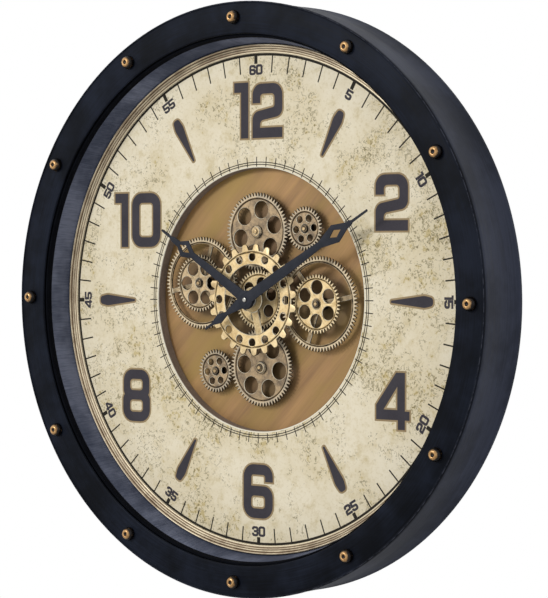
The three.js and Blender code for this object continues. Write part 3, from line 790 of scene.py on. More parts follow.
@dataclass(frozen=True)
class Finish:
    """What every finish has: its name, and the shader that its nodes feed."""

    name: str

    def material(self, effects: Effects, axis: Vector) -> bpy.types.Material:
        """Lays the finish out, about a point on the clock's axis."""
        raise NotImplementedError

    def start(self) -> tuple[bpy.types.Material, Palette, bpy.types.Node]:
        """Starts the material with an empty Principled shader.

        Returns:
            The material, its palette and its shader node.
        """
        material = bpy.data.materials.new(self.name)
        material.use_nodes = True
        tree = material.node_tree
        tree.nodes.clear()
        palette = Palette(tree)
        shader = palette.node("ShaderNodeBsdfPrincipled")
        palette.node("ShaderNodeOutputMaterial", {"Surface": shader.outputs[0]})
        return material, palette, shader

    @staticmethod
    def feed(palette: Palette, shader: bpy.types.Node, **sources: Source) -> None:
        """Links sources to the shader's sockets, or sets constants on them.

        Args:
            palette: The material's nodes.
            shader: Its shader node.
            sources: Other nodes' outputs or constants, by a short name of the socket.
        """
        names = {
            "colour": "Base Color",
            "roughness": "Roughness",
            "metallic": "Metallic",
            "specular": "Specular IOR Level",
            "normal": "Normal",
        }
        for key, source in sources.items():
            palette.feed(shader.inputs[names[key]], source)


@dataclass(frozen=True)
class Enamel(Finish):
    """Satin enamel on sheet steel, streaked round the clock, with bright rims of chipped paint
    and a painted highlight.
    """

    colour: Colour
    streak: Colour
    worn: Colour
    roughness: float
    stretch: Triple
    rims: tuple[float, ...] = ()
    rim_width: float = 0.5
    cloud: float = 11
    chip: float = 160
    specular: float = 0.2
    height: float = 0.05

    def material(self, effects: Effects, axis: Vector) -> bpy.types.Material:
        """Lays the finish out.

        Args:
            effects: The shared groups.
            axis: A point on the clock's axis.

        Returns:
            The material.
        """
        material, palette, shader = self.start()
        place = palette.centred(axis)
        wrapped = palette.group(effects.wrapped, {"Place": place})
        streaks = effects.streaks(palette, wrapped, self.stretch, 0.35, 0.68)
        clouds = palette.share(palette.noise(place, self.cloud, 4, 0.65), 0.3, 0.66)
        mixed = palette.number(Sum.MULTIPLY, palette.number(Sum.ADD, streaks, clouds), 0.5)
        mixed = palette.number(Sum.MULTIPLY, mixed, palette.number(Sum.ADD, clouds, 0.35))
        colour = palette.blend(mixed, self.colour, self.streak)
        radius = palette.radius(place)
        chips = palette.share(palette.noise(place, self.chip, 4, 0.7), 0.38, 0.62)
        # Bright chipped rims: bare edges that also stand as a painted highlight on the rolled
        # edge.
        for rim in self.rims:
            off = palette.number(Sum.SIZE, palette.number(Sum.SUBTRACT, radius, rim * MM))
            off_rim = palette.share(off, 0, self.rim_width * MM)
            on_rim = palette.number(Sum.SUBTRACT, 1.0, off_rim)
            wear_and_glint_mask = palette.number(Sum.MULTIPLY, on_rim, chips)
            colour = palette.blend(wear_and_glint_mask, colour, self.worn)
        self.feed(
            palette,
            shader,
            colour=colour,
            roughness=palette.spread(streaks, self.roughness, self.roughness + ROUGH_SPAN),
            specular=self.specular,
            normal=palette.bump(streaks, self.height),
        )
        return material


@dataclass(frozen=True)
class AgedMetal(Finish):
    """Plated metal that has gone dull in patches, dark in its recesses with patina and painted
    shade, and bright where its edges are rubbed, which is partly a painted highlight.
    """

    bright: Colour
    dull: Colour
    grime: Colour
    roughness: float
    metallic: float = 0.45
    patch: float = 60
    patch_share: float = 0.7
    grain: float = 900
    depth_of_grime: float = 0.75
    uneven_grime: float = 240
    # Rubbed edges: rubbed metal and a painted highlight.
    rubbed: Colour = (0.86, 0.78, 0.6)
    height: float = 0.03

    def material(self, effects: Effects, axis: Vector) -> bpy.types.Material:
        """Lays the finish out.

        Args:
            effects: The shared groups.
            axis: A point on the clock's axis.

        Returns:
            The material.
        """
        material, palette, shader = self.start()
        place = palette.centred(axis)
        clouds = palette.share(palette.noise(place, self.patch, 4, 0.65), 0.3, 0.7)
        grain = effects.streaks(palette, place, (self.grain,) * 3, 0.3, 0.7)
        tone = palette.number(
            Sum.ADD,
            palette.number(Sum.MULTIPLY, clouds, self.patch_share),
            palette.number(Sum.MULTIPLY, grain, 1 - self.patch_share),
        )
        colour = palette.blend(tone, self.dull, self.bright)
        # Patina and painted shade: darker where the stored relief says a point lies deeper.
        darkening = palette.number(Sum.MULTIPLY, palette.attribute("relief"), self.depth_of_grime)
        uneven = palette.share(palette.noise(place, self.uneven_grime, 3, 0.6), 0.2, 0.75)
        darkening = palette.number(Sum.MULTIPLY, darkening, palette.number(Sum.ADD, 0.55, uneven))
        darkening = palette.number(Sum.LEAST, darkening, 1.0)
        colour = palette.blend(darkening, colour, self.grime)
        # Rubbed edges, marked on the mesh: rubbed metal and a painted highlight.
        wear_and_glint_mask = palette.number(Sum.SUBTRACT, 1.0, palette.number(Sum.MULTIPLY, darkening, 0.8))
        wear_and_glint_mask = palette.number(Sum.MULTIPLY, palette.attribute("worn"), wear_and_glint_mask)
        colour = palette.blend(wear_and_glint_mask, colour, self.rubbed)
        self.feed(
            palette,
            shader,
            colour=colour,
            roughness=palette.spread(tone, self.roughness + 0.15, self.roughness - 0.05),
            metallic=self.metallic,
            normal=palette.bump(grain, self.height),
        )
        return material


@dataclass(frozen=True)
class BrushedMetal(Finish):
    """Sheet metal with brush marks that run one way, with painted shadow behind what it carries.
    """

    bright: Colour
    dull: Colour
    tint: Colour
    tarnish: Colour
    roughness: float
    angle: float
    # Where shadow is painted behind what it carries: (x, z) from the clock's axis, and how far
    # round there.
    spots: tuple[Triple, ...] = ()
    spot_fade: Point = (9, 5)
    spot_share: float = 0.56
    metallic: float = 0.3
    fine: float = 700
    long: float = 22
    broad: float = 34
    band_share: float = 0.72
    drift: Triple = (24, 1, 9)
    drift_share: float = 0.75
    height: float = 0.02

    def material(self, effects: Effects, axis: Vector) -> bpy.types.Material:
        """Lays the finish out.

        Args:
            effects: The shared groups.
            axis: A point on the clock's axis.

        Returns:
            The material.
        """
        material, palette, shader = self.start()
        way = {"Vector": palette.centred(axis), "Rotation": (0, math.radians(self.angle), 0)}
        turned = palette.node("ShaderNodeMapping", way).outputs[0]
        marks = effects.streaks(palette, turned, (self.fine, 1, self.long), 0.3, 0.7)
        broad = (self.broad, 1, self.broad / 12)
        bands = effects.streaks(palette, turned, broad, 0.36, 0.66)
        tone = palette.number(
            Sum.ADD,
            palette.number(Sum.MULTIPLY, bands, self.band_share),
            palette.number(Sum.MULTIPLY, marks, 1 - self.band_share),
        )
        colour = palette.blend(tone, self.dull, self.bright)
        drift = effects.streaks(palette, turned, self.drift, 0.42, 0.66)
        tinted = palette.number(Sum.MULTIPLY, drift, self.drift_share)
        colour = palette.blend(tinted, colour, self.tint)
        # Painted shadow: soft dark discs on the plate behind the wheels.
        clear: Source = 1.0
        inside, outside = self.spot_fade
        for x, z, reach in self.spots:
            off = palette.centred(axis + Vector((x * MM, 0, z * MM)))
            radius = palette.radius(off)
            away = palette.share(radius, (reach - inside) * MM, (reach + outside) * MM)
            clear = palette.number(Sum.LEAST, away, clear)
        lifted = palette.number(Sum.MULTIPLY, clear, self.spot_share)
        behind = palette.number(Sum.SUBTRACT, self.spot_share, lifted)
        colour = palette.blend(behind, colour, self.tarnish)
        self.feed(
            palette,
            shader,
            colour=colour,
            roughness=palette.spread(marks, self.roughness, self.roughness + ROUGH_SPAN),
            metallic=self.metallic,
            normal=palette.bump(marks, self.height),
        )
        return material


@dataclass(frozen=True)
class Gilding(Finish):
    """Aged gilding on a turned moulding, rubbed in streaks that run round it."""

    bright: Colour
    dull: Colour
    roughness: float = 0.42
    metallic: float = 0.3
    stretch: Triple = (7, 1500, 7)
    patch: float = 30
    height: float = 0.06

    def material(self, effects: Effects, axis: Vector) -> bpy.types.Material:
        """Lays the finish out.

        Args:
            effects: The shared groups.
            axis: A point on the clock's axis.

        Returns:
            The material.
        """
        material, palette, shader = self.start()
        place = palette.centred(axis)
        wrapped = palette.group(effects.wrapped, {"Place": place})
        rubbed = effects.streaks(palette, wrapped, self.stretch, 0.34, 0.62)
        patches = palette.share(palette.noise(place, self.patch, 4, 0.7), 0.3, 0.65)
        tone = palette.number(Sum.ADD, 0.35, palette.number(Sum.MULTIPLY, rubbed, patches))
        # Darker where relief is stored, lighter where it is below 0: painted shade and a painted
        # highlight.
        raised = palette.number(Sum.SUBTRACT, 1.0, palette.attribute("relief"))
        tone = palette.number(Sum.MULTIPLY, tone, raised)
        self.feed(
            palette,
            shader,
            colour=palette.blend(tone, self.dull, self.bright),
            roughness=self.roughness,
            metallic=self.metallic,
            normal=palette.bump(rubbed, self.height),
        )
        return material


@dataclass(frozen=True)
class Marks:
    """One kind of mark on aged paper: how it is cut out of noise, and in what patches."""

    scale: float
    cut: float
    patch: float
    patch_cut: float
    share: float


@dataclass(frozen=True)
class AgedPaper(Finish):
    """Cream printed paper, clouded with age and flecked with crooked scratches."""

    light: Colour
    cloud: Colour
    stain: Colour
    fleck: Colour
    edge: Colour
    edge_radius: float
    edge_fade: float = 0.4
    # Past this radius the board is painted near-black: painted shade for the gap beside the
    # liner.
    hidden_radius: float = 261
    hidden_fade: float = 0.5
    hidden: Colour = (0.01, 0.01, 0.012)
    cloud_scale: float = 16
    stain_scale: float = 75
    stain_share: float = 0.5
    mottle_scale: float = 330
    mottle_share: float = 0.3
    stain_specks: tuple[Marks, ...] = (Marks(150, 0.69, 16, 0.52, 0.6),)
    dark_specks: tuple[Marks, ...] = (
        Marks(300, 0.71, 16, 0.52, 0.7), Marks(520, 0.72, 23, 0.51, 0.65),
    )
    flecks: tuple[Marks, ...] = (
        Marks(150, 0.026, 16, 0.51, 0.6), Marks(230, 0.032, 21, 0.52, 0.6),
    )
    roughness: Point = (0.62, 0.78)
    specular: float = 0.25
    fibre: float = 1400
    height: float = 0.03

    def material(self, effects: Effects, axis: Vector) -> bpy.types.Material:
        """Lays the finish out.

        Args:
            effects: The shared groups.
            axis: A point on the clock's axis.

        Returns:
            The material.
        """
        material, palette, shader = self.start()
        place = palette.centred(axis)
        clouds = palette.share(palette.noise(place, self.cloud_scale, 5, 0.6), 0.35, 0.68)
        colour = palette.blend(clouds, self.light, self.cloud)
        stains = palette.share(palette.noise(place, self.stain_scale, 5, 0.72), 0.48, 0.74)
        stained = palette.number(Sum.MULTIPLY, stains, self.stain_share)
        colour = palette.blend(stained, colour, self.stain)
        mottle = palette.share(palette.noise(place, self.mottle_scale, 4, 0.75), 0.5, 0.68)
        mottled = palette.number(Sum.MULTIPLY, mottle, self.mottle_share)
        colour = palette.blend(mottled, colour, self.stain)
        for group, label, kinds, tint in (
            (effects.specks, "Cut", self.stain_specks, self.stain),
            (effects.specks, "Cut", self.dark_specks, self.fleck),
            (effects.flecks, "Width", self.flecks, self.fleck),
        ):
            for marks in kinds:
                inputs = {"Place": place, "Scale": marks.scale, label: marks.cut}
                inputs |= {"Patch Scale": marks.patch, "Patch Cut": marks.patch_cut}
                drawn = palette.group(group, inputs)
                marked = palette.number(Sum.MULTIPLY, drawn, marks.share)
                colour = palette.blend(marked, colour, tint)
        radius = palette.radius(place)
        edge, hidden = self.edge_radius, self.hidden_radius
        rim = palette.share(radius, edge * MM, (edge + self.edge_fade) * MM)
        colour = palette.blend(rim, self.edge, colour)
        # Painted shade: near-black where the board shows through the gap beside the liner.
        gap_shaded = palette.share(radius, hidden * MM, (hidden + self.hidden_fade) * MM)
        colour = palette.blend(gap_shaded, colour, self.hidden)
        fibre = palette.noise(place, self.fibre, 3, 0.6)
        self.feed(
            palette,
            shader,
            colour=colour,
            roughness=palette.spread(stains, *self.roughness),
            specular=self.specular,
            normal=palette.bump(fibre, self.height),
        )
        return material


@dataclass(frozen=True)
class Matt(Finish):
    """A matt finish with a fine mottle: ink, plastic, rubber, board or dull paint."""

    colour: Colour
    mottle: Colour
    roughness: float
    scale: float
    metallic: float = 0.0
    specular: float = 0.3
    height: float = 0.03

    def material(self, effects: Effects, axis: Vector) -> bpy.types.Material:
        """Lays the finish out.

        Args:
            effects: The shared groups.
            axis: A point on the clock's axis.

        Returns:
            The material.
        """
        material, palette, shader = self.start()
        place = palette.centred(axis)
        mottle = effects.streaks(palette, place, (self.scale,) * 3, 0.35, 0.65)
        broad = palette.share(palette.noise(place, self.scale / 14, 3, 0.6), 0.3, 0.7)
        tone = palette.number(Sum.MULTIPLY, palette.number(Sum.ADD, mottle, broad), 0.5)
        roughest = min(1.0, self.roughness + ROUGH_SPAN)
        self.feed(
            palette,
            shader,
            colour=palette.blend(tone, self.colour, self.mottle),
            roughness=palette.spread(mottle, self.roughness, roughest),
            metallic=self.metallic,
            specular=self.specular,
            normal=palette.bump(mottle, self.height),
        )
        return material


def shade(code: str) -> Colour:
    """Gives the linear colour of a code of six hexadecimal digits."""
    parts = [int(code[i : i + 2], 16) / 255 for i in (0, 2, 4)]
    return tuple(c / 12.92 if c < 0.04045 else ((c + 0.055) / 1.055) ** 2.4 for c in parts)


FINISHES: dict[str, Finish] = {
    finish.name: finish
    for finish in (
        Enamel(
            "bezel_black", shade("04060b"), shade("191e2a"), shade("43454f"), 0.45,
            (5, 900, 5), rims=(299.3,), specular=0.06,
        ),
        Enamel(
            "drum_grey", shade("1a1e29"), shade("383d4d"), shade("8a8c92"), 0.5,
            (3, 420, 3), specular=0.11,
        ),
        # Its darkest colour is the painted shade on the studs' sides and dimples.
        AgedMetal(
            "stud_brass", shade("dcb277"), shade("8c5e30"), shade("0d0706"), 0.25,
            metallic=0.5, patch=420, depth_of_grime=1.2,
        ),
        Enamel(
            "liner_grey", shade("3b4152"), shade("70768a"), shade("9a9ca4"), 0.5,
            (260, 70, 260), specular=0.05,
        ),
        Matt("well_brown", shade("94867a"), shade("7a6d64"), 0.6, 420, specular=0.15),
        Gilding("gilt_moulding", shade("e8d9ba"), shade("6d5139")),
        # Painted shadow: the near-black band in the gap under the bezel.
        Matt("shadow_band_black", shade("08090d"), shade("101218"), 0.8, 600, specular=0.03),
        AgedPaper(
            "dial_face", shade("ece2c9"), shade("dfd2b2"), shade("bfab72"),
            shade("716743"), shade("efe9d6"), 135.5,
        ),
        BrushedMetal(
            "gear_plate_bronze", shade("b48c5a"), shade("7b5c3c"), shade("957a3d"),
            shade("2c1f17"), 0.45, -44,
            # Painted shadow: (x, z, reach) of a dark disc behind each wheel.
            (
                (1.5, -1.5, 57), (-1.3, 68.3, 40), (4.3, -70.3, 40), (59.9, 70.9, 22),
                (-56.7, -75.8, 22), (78.4, -4.5, 34), (-74.8, 15.2, 36),
            ),
        ),
        AgedMetal(
            "wheel_brass", shade("fbe2ae"), shade("b79862"), shade("1c140c"), 0.4,
            patch=90,
        ),
        AgedMetal(
            "arbor_brass", shade("d8bc8c"), shade("8c7350"), shade("120b07"), 0.4,
            patch=300, depth_of_grime=1.15,
        ),
        AgedMetal(
            "wheel_rim", shade("dac095"), shade("857255"), shade("1a120b"), 0.42,
            patch=110, depth_of_grime=0.9,
        ),
        AgedMetal(
            "wheel_bronze", shade("bba079"), shade("5e5245"), shade("16100c"), 0.45,
            metallic=0.4, patch=110, depth_of_grime=0.9,
        ),
        Matt("hand_black", shade("24272d"), shade("363840"), 0.55, 900, specular=0.1),
        AgedMetal(
            "bright_steel", shade("b9b6b0"), shade("8b887f"), shade("3a3a3c"), 0.3,
            metallic=0.8,
        ),
        Matt("black_plastic", shade("1b1c1e"), shade("292a2d"), 0.5, 1500),
        Matt("cell_jacket", shade("20366b"), shade("2b4585"), 0.35, 700),
        Matt("panel_board", shade("4f3d2c"), shade("6a543d"), 0.8, 420, height=0.12),
        Matt("bumper_rubber", shade("222224"), shade("303033"), 0.85, 800, height=0.08),
        Matt("numeral_ink", shade("37343a"), shade("444147"), 0.62, 520, specular=0.15),
        Matt("numeral_gold", shade("917c5b"), shade("a5906d"), 0.6, 640, specular=0.2),
        Matt("track_ink", shade("24221e"), shade("353129"), 0.7, 800, specular=0.12),
    )
}


# Assembly


@dataclass
class Workshop:
    """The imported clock, where its axis stands, and the finishing of pieces on it."""

    frame: dict[str, Any]
    effects: Effects
    home: Vector
    materials: dict[str, bpy.types.Material] = field(default_factory=dict)
    doubles_apart: float = 0.01
    flat_within: float = 1

    def material(self, name: str) -> bpy.types.Material:
        """Gives a finish's material, laid out when it is first asked for.

        Args:
            name: The finish's name.

        Returns:
            Its material.
        """
        if name not in self.materials:
            self.materials[name] = FINISHES[name].material(self.effects, self.home)
        return self.materials[name]

    def axis_of(self, body: str) -> Point:
        """Gives where a body's hinge stands in the plane of the dial.

        Args:
            body: The body.

        Returns:
            Its hinge's place in the plane of the dial.
        """
        joint = next(j for j in self.frame["joints"] if j["child"] == body)
        x, _, z = joint["pos_m"]
        return (x - self.home.x) / MM, (z - self.home.z) / MM

    def fit(
        self, obj: Piece, body: str, slot: str, replaced: Sequence[str] = (),
        finish: str = "", at: Point = (0, 0),
    ) -> Piece:
        """Settles a piece in its place, dresses it and fixes it to its body.

        Args:
            obj: The piece, about the clock's own axis or its own.
            body: The body that it moves with.
            slot: The material slot that its finish belongs to.
            replaced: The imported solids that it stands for.
            finish: Its finish, where that isn't the slot's own.
            at: Where its own axis stands in the plane of the dial.

        Returns:
            The same piece.
        """
        step = Vector((at[0] * MM, 0, at[1] * MM))
        obj.data.transform(Matrix.Translation(self.home + step))
        obj.data.update()
        obj.data.materials.clear()
        obj.data.materials.append(self.material(finish or slot))
        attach(obj, body)
        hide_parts(*replaced)
        LOG.info("%s rides on %s: %d faces", obj.name, body, len(obj.data.polygons))
        return obj

    def dress(self, *nodes: str, finish: str) -> None:
        """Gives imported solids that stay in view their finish.

        Args:
            nodes: The solids.
            finish: Their finish.
        """
        for name in nodes:
            node = self.frame["nodes"][name]
            node.data.materials.clear()
            node.data.materials.append(self.material(finish))
            LOG.info("%s keeps its packed shape", name)

    def softened(self, node: str, name: str, width: float) -> Piece:
        """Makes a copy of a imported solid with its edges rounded.

        Args:
            node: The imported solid.
            name: The new piece's name.
            width: The width of the rounding.

        Returns:
            The copy, about the clock's own axis.
        """
        mesh = self.frame["nodes"][node].data.copy()
        mesh.transform(Matrix.Translation(-self.home))
        obj = bpy.data.objects.new(name, mesh)
        bpy.context.scene.collection.objects.link(obj)
        take(obj)
        bpy.ops.object.mode_set(mode="EDIT")
        bpy.ops.mesh.select_all(action="SELECT")
        bpy.ops.mesh.remove_doubles(threshold=self.doubles_apart * MM)
        bpy.ops.mesh.dissolve_limited(angle_limit=math.radians(self.flat_within))
        close_shell()
        part_faces(obj)
        soften(obj, width)
        return obj


@dataclass
class SubAssembly:
    """What every sub-assembly has: the workshop that it is built in."""

    shop: Workshop

    def make(self) -> None:
        """Builds its pieces."""
        raise NotImplementedError


@dataclass
class Case(SubAssembly):
    """The drum, the bezel with its studs, the liner, the moulding and the dial board."""

    sides: int = 240
    crease: float = 40
    bezel_crease: float = 50
    moulding_crease: float = 75
    radius: float = 300
    bezel_bore: float = 267.4
    bezel_back: float = 2.2
    drum_radius: float = 299.6
    drum_bore: float = 298.1
    drum_front: float = 2.5
    flange_bore: float = 284.6
    liner_profile: tuple[Point, ...] = (
        (265.5, 4.1), (265.8, 3.8), (266.7, 3.8), (267, 4.1), (261.3, 35.4),
        (273.3, 35.4), (273.3, 36.9), (259.8, 36.9),
    )
    # A thin black band at the liner's front edge: painted shadow in the gap under the bezel.
    seal_profile: tuple[Point, ...] = (
        (264.2, 9.6), (265.1, 3.9), (265.3, 3.5), (267.1, 3.5), (267.1, 3.75),
        (265.75, 3.75), (265.45, 4.1), (264.5, 9.6),
    )
    moulding_profile: tuple[Point, ...] = (
        (250.7, 36.9), (250.7, 36.0), (251.0, 35.6), (251.6, 35.45), (252.2, 35.6),
        (252.6, 36.2), (252.9, 36.0), (253.2, 35.1), (253.8, 34.6), (254.4, 34.6),
        (254.8, 35.1), (255.0, 35.6), (255.3, 34.5), (255.8, 33.8), (256.4, 33.7),
        (256.9, 34.2), (257.2, 34.9), (257.5, 33.3), (257.9, 32.4), (258.4, 31.9),
        (258.9, 32.0), (259.3, 32.6), (259.5, 33.4), (259.5, 36.9),
    )
    # Painted shade in the creases at some of the moulding's radii, and below 0 a painted
    # highlight on the pale fillet.
    moulding_dirt: tuple[Point, ...] = (
        (250.7, -0.6), (251.0, -1.5), (251.6, -1.5), (252.2, -1.2), (252.6, 1),
        (252.9, 1), (254.8, 0.8), (255.0, 1), (257.2, 1), (257.5, 0.7), (259.5, 0.8),
    )
    board_profile: tuple[Point, ...] = (
        (134.6, 40.4), (134.6, 37.8), (134.75, 37.45), (135.05, 37.25), (135.4, 37.2),
        (297, 37.2), (297, 40.4),
    )
    sleeve_profile: tuple[Point, ...] = (
        (134.4, 40.4), (134.4, 38.3), (134.6, 38.3), (134.6, 40.4),
    )
    well_profile: tuple[Point, ...] = (
        (134.4, 40.7), (138, 40.7), (138, 48.3), (134.4, 48.3),
    )
    stud_sides: int = 32
    stud_crease: float = 60
    stud_dimple: float = 2
    # Painted shade in the dimple and on the sides below a depth, and a painted highlight on the
    # top.
    dimple_dirt: float = 0.9
    stud_rubbed: float = -0.3
    stud_clean: float = -7.2
    stud_span: float = 1.8
    stud_profile: tuple[Point, ...] = (
        (6.6, -0.3), (7.0, -0.6), (7.0, -1.9), (6.8, -3.1), (6.35, -4.3), (5.7, -5.5),
        (4.9, -6.4), (4.1, -7.1), (3.3, -7.5), (2.7, -7.55), (2.2, -7.3), (1.9, -6.7),
        (1.5, -6.1), (0.7, -5.9),
    )

    def ring(
        self, name: str, profile: Sequence[Point], slot: str,
        replaced: Sequence[str] = (), finish: str = "", crease: float = 0,
    ) -> None:
        """Turns one ring of the case and fits it.

        Args:
            name: The piece's name.
            profile: Its section.
            slot: The material slot that its finish belongs to.
            replaced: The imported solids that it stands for.
            finish: Its finish, where that isn't the slot's own.
            crease: The angle of its sharp edges, where that isn't the case's own.
        """
        obj = turn_profile(name, profile, self.sides)
        smooth(obj, crease or self.crease)
        self.shop.fit(obj, "case", slot, replaced, finish)

    def bezel(self) -> None:
        """Turns the bezel: a flat ring with a bead rolled along both edges."""
        bore, rim, back = self.bezel_bore, self.radius, self.bezel_back
        profile = [
            (bore, back), (bore, 1.1), (bore + 0.2, 0.5), (bore + 0.7, 0.1),
            (bore + 1.4, 0), (rim - 3.2, 0), (rim - 2.7, 0.2),
            (rim - 2.2, 0.15), (rim - 2.0, -0.2), (rim - 1.5, -0.6), (rim - 0.8, -0.65),
            (rim - 0.3, -0.35), (rim, 0.1), (rim, back),
        ]
        self.ring("bezel_ring", profile, "bezel_black", ["front_bezel"], crease=self.bezel_crease)

    def drum(self) -> None:
        """Rolls the drum: its side, its front hem and its rear flange."""
        outer, bore, front = self.drum_radius, self.drum_bore, self.drum_front
        back = (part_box("case_drum")[1].y - self.shop.home.y) / MM
        profile = [
            (bore, front + 0.4), (bore + 0.3, front), (outer - 0.5, front),
            (outer - 0.1, front + 0.2), (outer, front + 0.7), (outer, front + 5.2),
            (outer - 0.35, front + 5.8), (outer - 0.35, back - 5.4), (outer, back - 4.8),
            (outer, back - 1.2), (outer - 0.3, back - 0.4), (outer - 1.1, back),
            (self.flange_bore, back), (self.flange_bore, back - 1.5), (bore, back - 1.5),
        ]
        self.ring("drum_shell", profile, "drum_grey", ["case_drum"])

    def liner(self) -> None:
        """Rolls the wall that runs from the bezel down to the moulding, and the black band of
        painted shadow at its front edge.
        """
        self.ring("liner_wall", self.liner_profile, "liner_grey", ["inner_liner"])
        self.ring("liner_shadow_band", self.seal_profile, "liner_grey", finish="shadow_band_black")

    def moulding(self) -> None:
        """Turns the gilt moulding: a pale fillet and three beads that step up."""
        obj = turn_profile("gilt_beads", self.moulding_profile, self.sides)
        # Painted shade in the creases and a painted highlight on the fillet, stored as relief.
        darkening = dict(self.moulding_dirt)
        radii = [math.hypot(v.co.x, v.co.z) / MM for v in obj.data.vertices]
        shares = [float(darkening.get(round(radius, 1), 0)) for radius in radii]
        store(obj, "relief", Spots.POINTS, shares)
        smooth(obj, self.moulding_crease)
        self.shop.fit(obj, "case", "gilt_moulding", ["dial_moulding"])

    def board(self) -> None:
        """Turns the dial board with the bevelled edge of its opening, and the well."""
        self.ring("printed_board", self.board_profile, "dial_face", ["dial_board"])
        self.ring("opening_sleeve", self.sleeve_profile, "liner_grey", finish="well_brown")
        replaced = ["gear_well_ring"]
        self.ring("well_wall", self.well_profile, "liner_grey", replaced, "well_brown")

    def stud_dirt(self, place: Vector) -> float:
        """Tells how much painted shade a stud gets at a place on it.

        Args:
            place: The place, about the stud's own axis.

        Returns:
            The painted shade, up to 1 at its foot and in its dimple, and below 0 where its top
            takes a painted highlight.
        """
        if math.hypot(place.x, place.z) / MM < self.stud_dimple:
            return self.dimple_dirt
        deeper = (place.y / MM - self.stud_clean) / self.stud_span
        return min(1.0, max(self.stud_rubbed, deeper))

    def studs(self) -> None:
        """Turns one dimpled stud and sets a copy at each hour."""
        first = turn_profile("stud", self.stud_profile, self.stud_sides, solid=True)
        # Painted shade on the sides and in the dimple, and a painted highlight on the top.
        darkening = [self.stud_dirt(vertex.co) for vertex in first.data.vertices]
        store(first, "relief", Spots.POINTS, darkening)
        smooth(first, self.stud_crease)
        for hour in range(1, HOURS + 1):
            stud = copy_of(first, f"stud_head_{hour:02d}")
            node = f"bezel_stud_{hour:02d}"
            lo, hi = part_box(node)
            middle = (lo + hi) / 2 - self.shop.home
            at = (middle.x / MM, middle.z / MM)
            self.shop.fit(stud, "case", "stud_brass", [node], at=at)
        bpy.data.objects.remove(first)

    def make(self) -> None:
        """Builds every piece of the case."""
        self.bezel()
        self.drum()
        self.liner()
        self.moulding()
        self.board()
        self.studs()
        self.shop.dress("gear_plate", finish="gear_plate_bronze")
        self.shop.dress("board_ledge", finish="drum_grey")


# Digits, each as outlines of (x, y, corner radius) from its own lower left corner.
DIGITS: dict[str, list[list[Triple]]] = {
    "0": [
        [(0, 0, 13), (40, 0, 13), (40, 57, 13), (0, 57, 13)],
        [(10.3, 10.3, 4), (10.3, 46.7, 4), (29.7, 46.7, 4), (29.7, 10.3, 4)],
    ],
    "1": [
        [(0, 57, 0), (0, 47, 0), (9, 47, 0), (9, 0, 0), (18.6, 0, 0), (18.6, 57, 0)],
    ],
    "2": [
        [
            (0, 35.3, 0), (10, 35.3, 0), (10, 44.7, 4), (28.6, 44.7, 4), (28.6, 31, 3),
            (0, 26, 9), (0, 0, 0), (38.7, 0, 0), (38.7, 10.3, 0), (9.8, 10.3, 0),
            (9.8, 17.5, 5), (38.7, 22, 9), (38.7, 55, 12), (0, 55, 11),
        ],
    ],
    "3": [
        [
            (0, 38, 0), (10, 38, 0), (10, 45, 3), (28, 45, 4), (28, 33, 3), (12, 33, 0),
            (12, 23, 0), (28, 23, 3), (28, 10, 4), (10, 10, 3), (10, 17, 0), (0, 17, 0),
            (0, 0, 13), (38, 0, 13), (38, 26, 7), (35.5, 28.5, 0), (38, 31, 6),
            (38, 55, 12), (0, 55, 12),
        ],
    ],
    "4": [
        [
            (23.9, 55.6, 0), (0, 23.6, 0), (0, 9.3, 0), (26, 9.3, 0), (26, 0, 0),
            (34.3, 0, 0), (34.3, 9.3, 0), (39.8, 9.3, 0), (39.8, 18.1, 0),
            (34.3, 18.1, 0), (34.3, 55.6, 0),
        ],
        [(25.3, 41.9, 0), (25.3, 19.2, 0), (8.8, 19.2, 0)],
    ],
    "5": [
        [
            (0, 55, 0), (0, 23, 0), (28, 23, 4), (28, 10, 4), (10, 10, 3), (10, 15, 0),
            (0, 15, 0), (0, 0, 13), (38, 0, 13), (38, 33, 12), (10, 33, 0), (10, 45, 0),
            (38, 45, 0), (38, 55, 0),
        ],
    ],
    "6": [
        [
            (38, 37.5, 0), (38, 55, 12), (0, 55, 13), (0, 0, 13), (38, 0, 13),
            (38, 33, 11), (10, 33, 0), (10, 44.5, 3), (28.2, 44.5, 3), (28.2, 37.5, 0),
        ],
        [(9.9, 9.9, 4), (9.9, 23, 4), (28, 23, 4), (28, 9.9, 4)],
    ],
    "8": [
        [
            (0, 0, 13), (38, 0, 13), (38, 26, 7), (35.5, 28.5, 0), (37.2, 31, 6),
            (37.2, 55, 12), (0.8, 55, 12), (0.8, 31, 6), (2.5, 28.5, 0), (0, 26, 7),
        ],
        [(10, 33, 4), (10, 45, 4), (28, 45, 4), (28, 33, 4)],
        [(9.8, 10, 4), (9.8, 23, 4), (28.2, 23, 4), (28.2, 10, 4)],
    ],
}


def area(outline: Sequence[Point]) -> float:
    """Gives an outline's signed area, above zero where it winds to the left."""
    pairs = zip(outline, [*outline[1:], outline[0]])
    return sum(a[0] * b[1] - b[0] * a[1] for a, b in pairs) / 2


